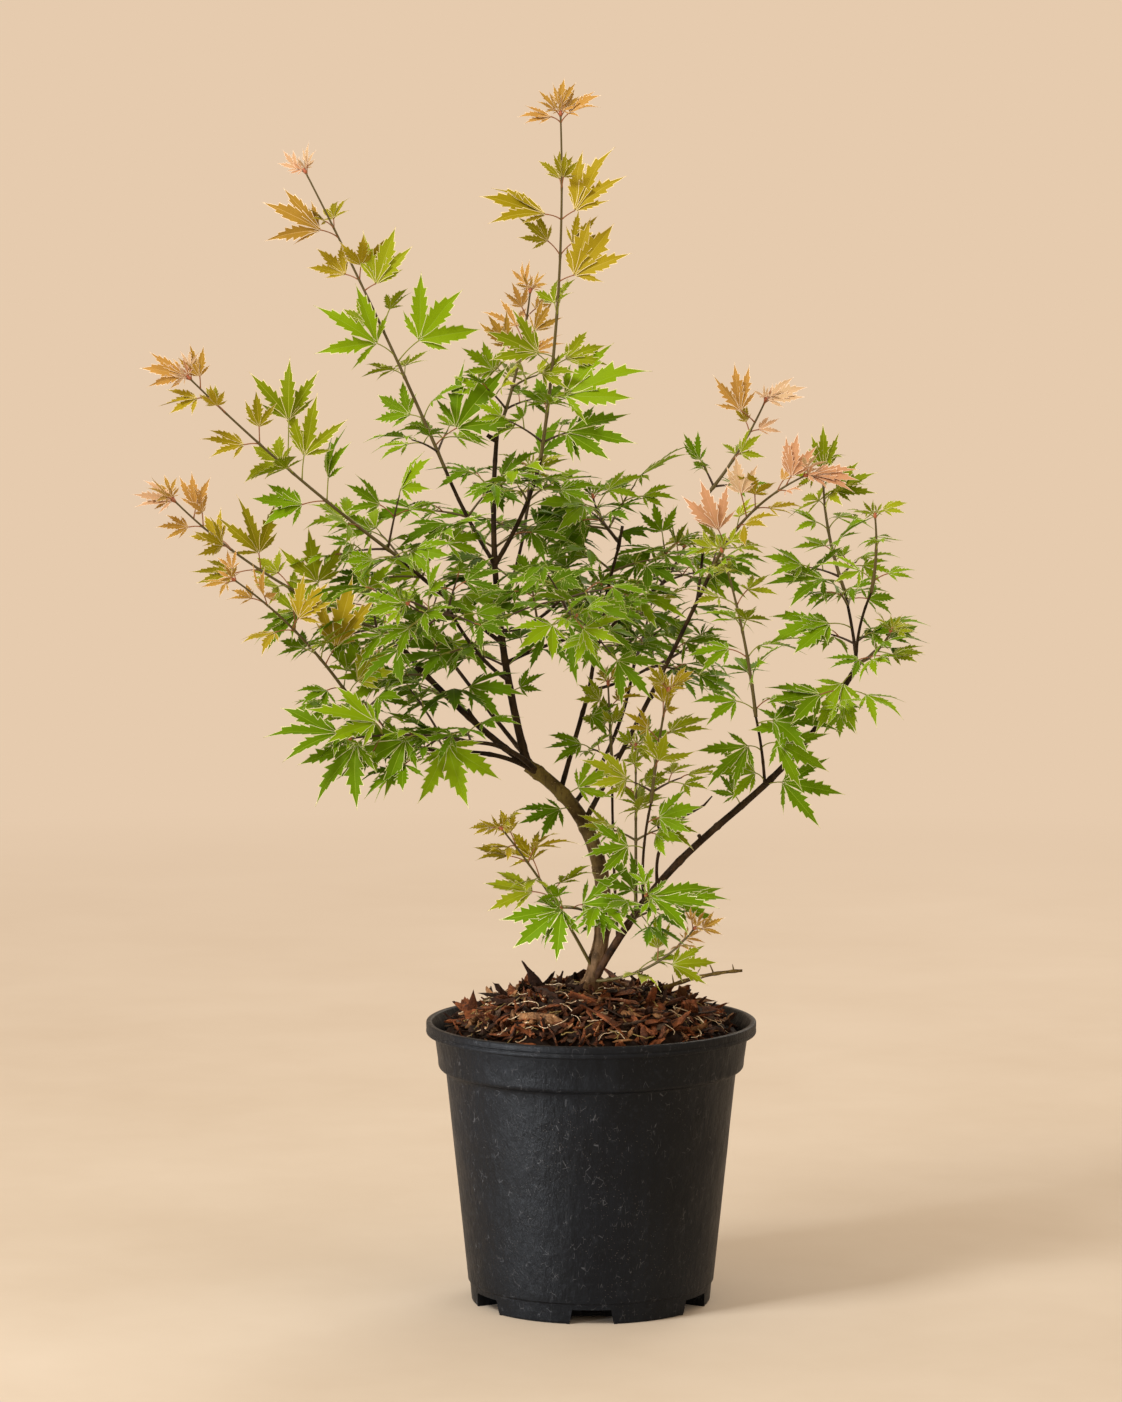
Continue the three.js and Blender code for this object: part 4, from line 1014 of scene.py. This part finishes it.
def make_bark():
    """The trunk as one piece, and all the boughs with the dead twig as another."""
    draw = random.Random(8)
    trunk, boughs = Soup(), Soup()
    for row in LIMBS:
        bark_limb(trunk if row.name == "trunk" else boughs, row, draw)
    for limb, share, way, length, radius in STUBS:
        stub(trunk if limb == "trunk" else boughs, curves[limb].point(share), way, length, radius, draw)
    twig = curves["dead_twig"]
    tip, middle = twig.point(1), twig.point(0.55)
    tube(boughs, [tip, tip + [9, 2, 5], tip + [15, 1, 12]], [0.9, 0.9, 0.5], 10)
    tube(boughs, [middle, middle + [-5, 0, 7], middle + [-6, 0, 10]], [1, 0.9, 0.6], 10)
    olive = bark("olive_bark", "#806448", "#6a5c2e", "#352716", "#b8997a", 1)
    hand_over(trunk.piece("trunk_bark", [olive]), "olive_bark", "trunk")
    dark = bark("dark_bark", "#543a26", "#3a2c1a", "#170f09", "#88694a", 1.5)
    hand_over(boughs.piece("boughs_bark", [dark]), "dark_bark", *[row.name for row in LIMBS[1:]])


# ---------------------------------------------------------------- leaves

# Lobes of a blade: angle from the midrib, length beside the middle lobe, greatest half width and teeth.
LOBES = [(0, 1.05, 0.134, 4), (-40, 0.95, 0.118, 4), (40, 0.95, 0.118, 4), (-78, 0.53, 0.07, 3),
         (78, 0.53, 0.07, 3)]
LOBE_RISE, LOBE_FALL = 1.65, 1.8
PALM_WIDTH, PALM_REACH = 0.025, 0.14
MARGIN_WIDTH = 0.0075
VEIN_WIDTH = 0.005
TOOTH_OUT, TOOTH_IN, TOOTH_HOOK = 1.32, 0.8, 0.035
FIRST_TOOTH, LAST_TOOTH = 0.36, 0.86
LAYER_GAP = 0.004
LOBE_COLUMNS = 6
# Kinds of face on a blade, and its materials: three shades of the blade, then the margin and the vein.
BLADE, MARGIN, VEIN = 0, 1, 2
BLADE_SHADES = 3
LEAF_PARTS = [("blade_a", 0.5), ("blade_b", 0.5), ("blade_c", 0.5), ("margin", 0.6), ("vein", 0.6)]
LEAF_SIZES = (0.62, 1.03)
NARROW_TINTS = {"pink": 0.72, "peach": 0.8, "olive": 0.95}
RED_STALKS = 0.25
STALK_RADII = np.array([0.62, 0.5, 0.44, 0.42, 0.44, 0.5])
BUD_RADII = np.array([0.8, 1.25, 1.3, 1.0, 0.6, 0.15])
BUD_LENGTH = 5
TIP_LEAF = 0.34
# Radii of the stems and the side twigs at their foot, and what they lose up to their tip.
STEM_RADIUS, STEM_TAPER = 1.4, 0.75
TWIG_RADIUS, TWIG_TAPER = 1.0, 0.45
NODE_BULGE = 0.28
# A side twig bears a pair of smaller leaves at this share of its length.
FINE_PAIR_AT = 0.55
FINE_LEAF = 0.82
# Old leaves face the sky, and young ones the sun in front of the plant, at its left.
OLD_FACE = np.array([-0.2, -0.28, 0.95])
YOUNG_FACE = np.array([-0.2, -1.0, 0.25])
PLACED_OLD_FACE = np.array([-0.2, -0.25, 0.95])
PLACED_YOUNG_FACE = np.array([-0.15, -1.0, 0.3])
TIP_FACE = np.array([-0.2, -1.0, 0.3])


def lobe_grid(teeth):
    """Shares of a lobe's length, how far the edge stands out at each, and the faces with their kinds."""
    share = [0.02, 0.12, 0.24]
    out = [1.0, 1.0, 1.0]
    for k in range(teeth):
        peak = FIRST_TOOTH + (LAST_TOOTH - FIRST_TOOTH) * k / teeth
        share += [peak, peak + 0.018]
        out += [TOOTH_OUT, TOOTH_IN]
    share += [0.87, 0.94, 1.0]
    out += [1.0, 1.0, 1.0]
    faces = ring_faces(len(share), LOBE_COLUMNS, closed=False)
    kind = np.array([MARGIN, BLADE, VEIN, BLADE, MARGIN])[np.arange(len(faces)) % (LOBE_COLUMNS - 1)]
    kind[-(LOBE_COLUMNS - 1):] = MARGIN
    return np.array(share), np.array(out), faces, kind


GRIDS = {teeth: lobe_grid(teeth) for teeth in {lobe[3] for lobe in LOBES}}


LOBE_CREST = LOBE_RISE / (LOBE_RISE + LOBE_FALL)
LOBE_FULL = LOBE_CREST ** LOBE_RISE * (1 - LOBE_CREST) ** LOBE_FALL


def blade(draw, droop, cup, narrow, spread):
    """Points, faces and kinds of a palmate blade of length 1, with its midrib along x and its face up."""
    points, faces, kinds = [], [], []
    count = 0
    for rank, (angle, reach, width, teeth) in enumerate(LOBES):
        t, out, grid, kind = GRIDS[teeth]
        reach = reach * draw.uniform(0.92, 1.06)
        width = width * narrow * draw.uniform(0.9, 1.12)
        envelope = width * t ** LOBE_RISE * (1 - t) ** LOBE_FALL / LOBE_FULL
        teeth_out = 1 + (out - 1) * np.array([draw.uniform(0.3, 1.7) for _ in out])
        edge = envelope * teeth_out + PALM_WIDTH * np.exp(-(t / PALM_REACH) ** 2) + 0.0012
        at_tooth = out > 1
        body = np.maximum(edge - MARGIN_WIDTH * (1 + 0.6 * at_tooth), 0.35 * edge)
        vein = np.minimum(VEIN_WIDTH * (1.15 - t), 0.4 * body)
        y = np.stack([-edge, -body, -vein, vein, body, edge], 1)
        hook = TOOTH_HOOK * at_tooth
        x = t[:, None] + hook[:, None] * [1, 0.7, 0, 0, 0.7, 1]
        # The lobe folds up along its vein, rolls to one side, droops, and curls at its tip.
        z = 0.30 * np.abs(y) * (1 - 0.5 * t[:, None])
        z[:, 2:4] -= 0.006
        roll = (draw.gauss(0, 0.35) * t)[:, None]
        y, z = y * np.cos(roll) - z * np.sin(roll), y * np.sin(roll) + z * np.cos(roll)
        lift = -droop * draw.uniform(0.5, 1.7) * t ** 2 + draw.uniform(-0.025, 0.025) * np.sin(6 * t)
        curl = -draw.uniform(-0.03, 0.12) * np.maximum(t - 0.65, 0) * 3
        z = z + (lift + curl)[:, None]
        bend = (0.05 * np.sign(angle) + draw.uniform(-0.07, 0.07)) * t ** 2
        y = y + bend[:, None]
        x, y, z = x * reach, y * reach ** 0.5, z * reach
        turn = math.radians(angle * spread + draw.uniform(-6, 6))
        across = x * math.sin(turn) + y * math.cos(turn)
        onward = x * math.cos(turn) - y * math.sin(turn)
        z = z + cup * np.abs(across) - LAYER_GAP * rank
        points.append(np.stack([onward, across, z], -1).reshape(-1, 3))
        faces.append(grid + count)
        kinds.append(kind)
        count += x.size
    return np.concatenate(points), np.concatenate(faces), np.concatenate(kinds)


class Foliage:
    """All the leaves, by tint, with their stalks, the twigs that bear them and their buds."""

    def __init__(self):
        self.leaves = {tint: Soup() for tint in TINTS}
        self.twigs = Soup()
        self.stalks = Soup()
        self.buds = Soup()

    def leaf(self, node, foot, heading, reach, length, midrib, face, tint, draw, droop, cup, narrow,
             spread=1.0):
        """A stalk from foot towards heading, and a blade at its end."""
        base = foot + heading * reach
        midrib = unit(midrib)
        across = unit(np.cross(face, midrib))
        normal = np.cross(midrib, across)
        local, faces, kinds = blade(draw, droop, cup, narrow, spread)
        points = base + length * (local[:, :1] * midrib + local[:, 1:2] * across + local[:, 2:] * normal)
        soup = self.leaves[tint]
        shade = draw.randrange(BLADE_SHADES)
        soup.add(points, [faces], np.array([shade, BLADE_SHADES, BLADE_SHADES + 1])[kinds])
        soup.nodes.add(node)
        t = np.linspace(0, 1, len(STALK_RADII))[:, None]
        bent = foot + heading * reach * t + (UP * 0.07 * reach - midrib * 0.05 * reach) * 4 * t * (1 - t)
        red = tint in YOUNG_TINTS or draw.random() < RED_STALKS
        tube(self.stalks, bent, STALK_RADII, 6, int(red))


def outward(along, angle):
    """The direction away from a stem that grows along, at angle round it."""
    level = UP if abs(along[2]) < 0.9 else np.array([0.0, 1.0, 0.0])
    side = unit(np.cross(along, level))
    third = np.cross(along, side)
    return side * math.cos(angle) + third * math.sin(angle)


def tint_at(row, share, draw):
    """One of the mass's tints, which run from its foot to its tip, with some mixing."""
    names = row.tints.split()
    place = share * len(names) + draw.gauss(0, 0.35)
    return names[int(min(max(place, 0), len(names) - 1))]


def leafy(foliage, row, foot, heading, length, share, draw, stalk=1.0):
    """One leaf of a mass, turned to the light: flat and drooping when old, standing up when young."""
    youth = row.erect * (0.35 + 0.65 * share) + draw.uniform(-0.15, 0.15)
    youth = min(max(youth, 0.0), 1.0)
    reach = length * PETIOLE_SHARE * draw.uniform(0.8, 1.2) * stalk
    midrib = heading.copy()
    midrib[2] = midrib[2] * 0.5 - 0.12 + 0.3 * (draw.random() - 0.5)
    midrib = unit(midrib * (1 - 0.45 * youth) + UP * 0.75 * youth)
    light = OLD_FACE * (1 - youth) + YOUNG_FACE * youth
    if row.name.startswith("foliage_back"):
        light = light * [1, -0.6, 1]
    face = light + 0.35 * heading + np.array([draw.uniform(-0.5, 0.5), draw.uniform(-0.8, 0.4), 0])
    tint = tint_at(row, share, draw)
    droop = 0.16 * (1 - youth) + draw.uniform(-0.02, 0.10)
    cup = -0.12 * (1 - youth) + 0.12 * youth + draw.uniform(-0.06, 0.06)
    narrow = NARROW_TINTS.get(tint, 1.0) * draw.uniform(0.85, 1.15)
    spread = draw.uniform(0.8, 1.15) * (1 - 0.45 * youth)
    size = length * draw.uniform(*LEAF_SIZES)
    foliage.leaf(row.name, foot, heading, reach, size, midrib, face, tint, draw, droop, cup, narrow, spread)


def pair(foliage, row, foot, along, turn, length, share, draw):
    """Two leaves on opposite sides of a stem."""
    lean = row.erect * share
    for half in (0, math.pi):
        out = outward(along, turn + half + 0.4 * (draw.random() - 0.5))
        heading = unit(along * (0.5 + 0.6 * lean) + out * (0.85 - 0.3 * lean) + UP * 0.1 * draw.random())
        leafy(foliage, row, foot, heading, length, share, draw)


def side_twig(foliage, row, foot, along, turn, share, draw):
    """A side twig with a fine pair on it and a leaf at its end."""
    heading = along * 0.5 + outward(along, turn) * 0.85
    heading[2] = heading[2] * 0.6 + 0.12
    heading = unit(heading)
    reach = row.twig * draw.uniform(0.8, 1.2)
    line = LimbCurve(foot, foot + heading * reach, UP * 0.04 * reach)
    t = np.linspace(0, 1, 9)
    tube(foliage.twigs, line.point(t), TWIG_RADIUS - TWIG_TAPER * t, 7, 1 if share < 0.3 else 0)
    pair(foliage, row, line.point(FINE_PAIR_AT), heading, 0.3, FINE_LEAF * row.leaf, share, draw)
    leafy(foliage, row, line.point(0.98), heading, row.leaf, share, draw, 0.45)


def shoot_tip(foliage, row, curve, draw):
    """The growing point: a bud, and two half-open leaves folded round it."""
    tip, along = curve.point(1.0), curve.along(1.0)
    steps = np.linspace(0, 1, len(BUD_RADII))[:, None]
    tube(foliage.buds, tip + along * BUD_LENGTH * steps, BUD_RADII, 8)
    for half in (0, math.pi):
        out = outward(along, math.radians(row.turn) + half + draw.uniform(-0.3, 0.3))
        heading = unit(along + 0.35 * out)
        face = unit(TIP_FACE + 0.5 * out)
        size = TIP_LEAF * row.leaf * draw.uniform(0.8, 1.2)
        foliage.leaf(row.name, tip, heading, 4, size, heading + 0.3 * out, face, row.tints.split()[-1], draw,
                     droop=0.05, cup=0.5, narrow=0.7)


def grow_mass(foliage, row, draw):
    """A mass by the part's rule: a stem, leaf pairs at right angles by turns, and side twigs at its foot."""
    curve = LimbCurve(curves[row.on].point(row.share), row.tip, row.bow)
    curves[row.name] = curve
    length = curve.length()
    share = np.linspace(0, 1, max(int(length / 2.5), 8))
    radii = STEM_RADIUS - STEM_TAPER * share
    nodes = [row.first + (1 - row.first) * (i / (row.pairs - 1)) ** row.ease for i in range(row.pairs)]
    for node in nodes:
        radii = radii * (1 + NODE_BULGE * swell((share - node * 0.995) * length, 1.5))
    tube(foliage.twigs, curve.point(share), radii, 10, 1 if row.tints.startswith("deep") else 0)
    for i, node in enumerate(nodes):
        foot = curve.point(node * 0.995)
        along = curve.along(node)
        turn = math.radians(row.turn + 90 * i)
        if i < row.sprigs:
            side_twig(foliage, row, foot, along, turn, node, draw)
            side_twig(foliage, row, foot, along, turn + math.pi, node, draw)
        else:
            young = 1 - max(node - 0.55, 0)
            pair(foliage, row, foot, along, turn, row.leaf * young, node, draw)
    shoot_tip(foliage, row, curve, draw)


def grow_spray(foliage, spray, first_turn, draw):
    """Two opposite side twigs at each share of a limb."""
    curve = curves[spray.name]
    for k, share in enumerate(spray.shares):
        turn = math.radians(first_turn + 90 * k)
        for half in (0, math.pi):
            side_twig(foliage, spray, curve.point(share), curve.along(share), turn + half, 0.6 * share, draw)


def grow_placed(foliage, stem, share, way, aim, length, tint, turned_up, reach, draw):
    """One leaf of the PLACED table."""
    face = PLACED_OLD_FACE * (1 - turned_up) + PLACED_YOUNG_FACE * turned_up
    face = face + np.array([draw.uniform(-0.25, 0.25), 0, draw.uniform(-0.25, 0.25)])
    spread = 0.92 if tint in ("deep", "green") else draw.uniform(0.55, 0.75)
    foot = curves[stem].point(share)
    way, aim = unit(np.array(way, float)), np.array(aim, float)
    foliage.leaf(stem, foot, way, reach, length, aim, face, tint, draw,
                 droop=0.12, cup=0.05, narrow=draw.uniform(0.85, 1.1), spread=spread)


def grow_foliage(foliage):
    """The masses, then the sprays on the limbs and the placed leaves, each with a seed of its own."""
    for i, row in enumerate(MASSES):
        grow_mass(foliage, row, random.Random(1000 + i))
    for i, row in enumerate(SPRAYS):
        grow_spray(foliage, row, 25 + 40 * i, random.Random(2000 + i))
    seed = 3000
    for stem, leaves in PLACED:
        for leaf in leaves:
            grow_placed(foliage, stem, *leaf, random.Random(seed))
            seed += 1


def make_foliage():
    """One piece for the leaves of each tint, and one each for the twigs, the stalks and the buds."""
    foliage = Foliage()
    grow_foliage(foliage)
    masses = [row.name for row in MASSES]
    for tint, soup in foliage.leaves.items():
        materials = [
            new_material(f"{tint}_{part}", code, roughness, Specular_IOR_Level=LEAF_SHINE)
            for (part, roughness), code in zip(LEAF_PARTS, TINTS[tint])
        ]
        piece = soup.piece(f"leaves_{tint}", materials)
        slot = "young_leaves" if tint in YOUNG_TINTS else "green_leaves"
        hand_over(piece, slot, *sorted(soup.nodes & set(masses)))
    stems = [
        ("twigs", foliage.twigs, [("twig_green", "#574c20"), ("twig_brown", "#3e2c19")]),
        ("leaf_stalks", foliage.stalks, [("stalk_green", "#8a9230"), ("stalk_red", "#935f38")]),
        ("buds", foliage.buds, [("bud_red", "#b5694b")]),
    ]
    for name, soup, tones in stems:
        piece = soup.piece(name, [new_material(tone, code, 0.55) for tone, code in tones])
        hand_over(piece, "green_leaves", *masses)


# ---------------------------------------------------------------- stage, light and camera

def make_stage():
    """A round pale floor that fades into the even backdrop, so that no horizon shows."""
    mesh = bpy.data.meshes.new("floor")
    ring = [(FLOOR_RADIUS * math.cos(a), FLOOR_RADIUS * math.sin(a), 0) for a in ring_angles(128)]
    mesh.from_pydata(ring, [], [list(range(len(ring)))])
    material = new_material("floor_plaster", FLOOR, 0.9)
    g = Graph(material)
    g.link(g.layer(FLOOR, "#c6bcad", g.noise(3, 6, 0.6), 0.3, 0.7), g.shader.inputs["Base Color"])
    distance = g.node("ShaderNodeVectorMath", {0: g.place}, operation="LENGTH").outputs["Value"]
    glow = g.node("ShaderNodeEmission", {"Color": linear(BACKDROP)})
    sockets = {0: g.span(distance, *FADE), 1: g.shader.outputs[0], 2: glow.outputs[0]}
    mix = g.node("ShaderNodeMixShader", sockets)
    g.link(mix.outputs[0], g.tree.nodes["Material Output"].inputs["Surface"])
    mesh.materials.append(material)
    placed("floor", mesh)
    world = bpy.data.worlds.new("backdrop")
    world.use_nodes = True
    background = world.node_tree.nodes["Background"]
    background.inputs["Color"].default_value = linear(BACKDROP)
    background.inputs["Strength"].default_value = 1.0
    bpy.context.scene.world = world
    bpy.context.scene.view_settings.view_transform = "Standard"


def soft_light(name, at, towards, size, power, colour, spread=180):
    """A round area light. Places and size are in metres, power in watts, and spread in degrees."""
    light = bpy.data.lights.new(name, "AREA")
    light.shape = "DISK"
    light.size = size
    light.energy = power
    light.color = colour
    light.spread = math.radians(spread)
    lamp = placed(name, light)
    lamp.location = at
    lamp.rotation_euler = (Vector(towards) - Vector(at)).to_track_quat("-Z", "Y").to_euler()


def make_lights():
    """A high key light on the left, a low beam on the pot's flank, a fill and a back light."""
    soft_light("key", (-1.9, -1.5, 2.7), (0, 0, 0.5), 1.0, 73, (1.0, 0.94, 0.86))
    soft_light("side", (-1.75, -1.3, 0.16), (0, 0, 0.12), 0.3, 0.55, (0.97, 0.98, 1.0), 14)
    soft_light("fill", (2.4, -2.2, 1.4), (0, 0, 0.5), 2.2, 14, (1.0, 0.96, 0.92))
    soft_light("back", (1.2, 2.4, 2.2), (0, 0, 0.6), 1.6, 26, (1.0, 0.95, 0.88))


def make_camera():
    data = bpy.data.cameras.new("camera")
    data.lens = FOCAL_LENGTH
    data.sensor_width = SENSOR
    data.clip_end = 50
    camera = placed("camera", data)
    camera.location = [v * MM for v in CAMERA_AT]
    camera.rotation_euler = (math.radians(90 - CAMERA_PITCH), 0, 0)
    bpy.context.scene.camera = camera


make_camera()
make_stage()
make_lights()
make_pot()
make_bed()
make_chips()
make_fibres()
make_bark()
make_foliage()
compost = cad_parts["compost"]
compost.data.materials.clear()
compost.data.materials.append(wood_chip("compost", "#2b1c14", "#140d09", "#4a3324"))
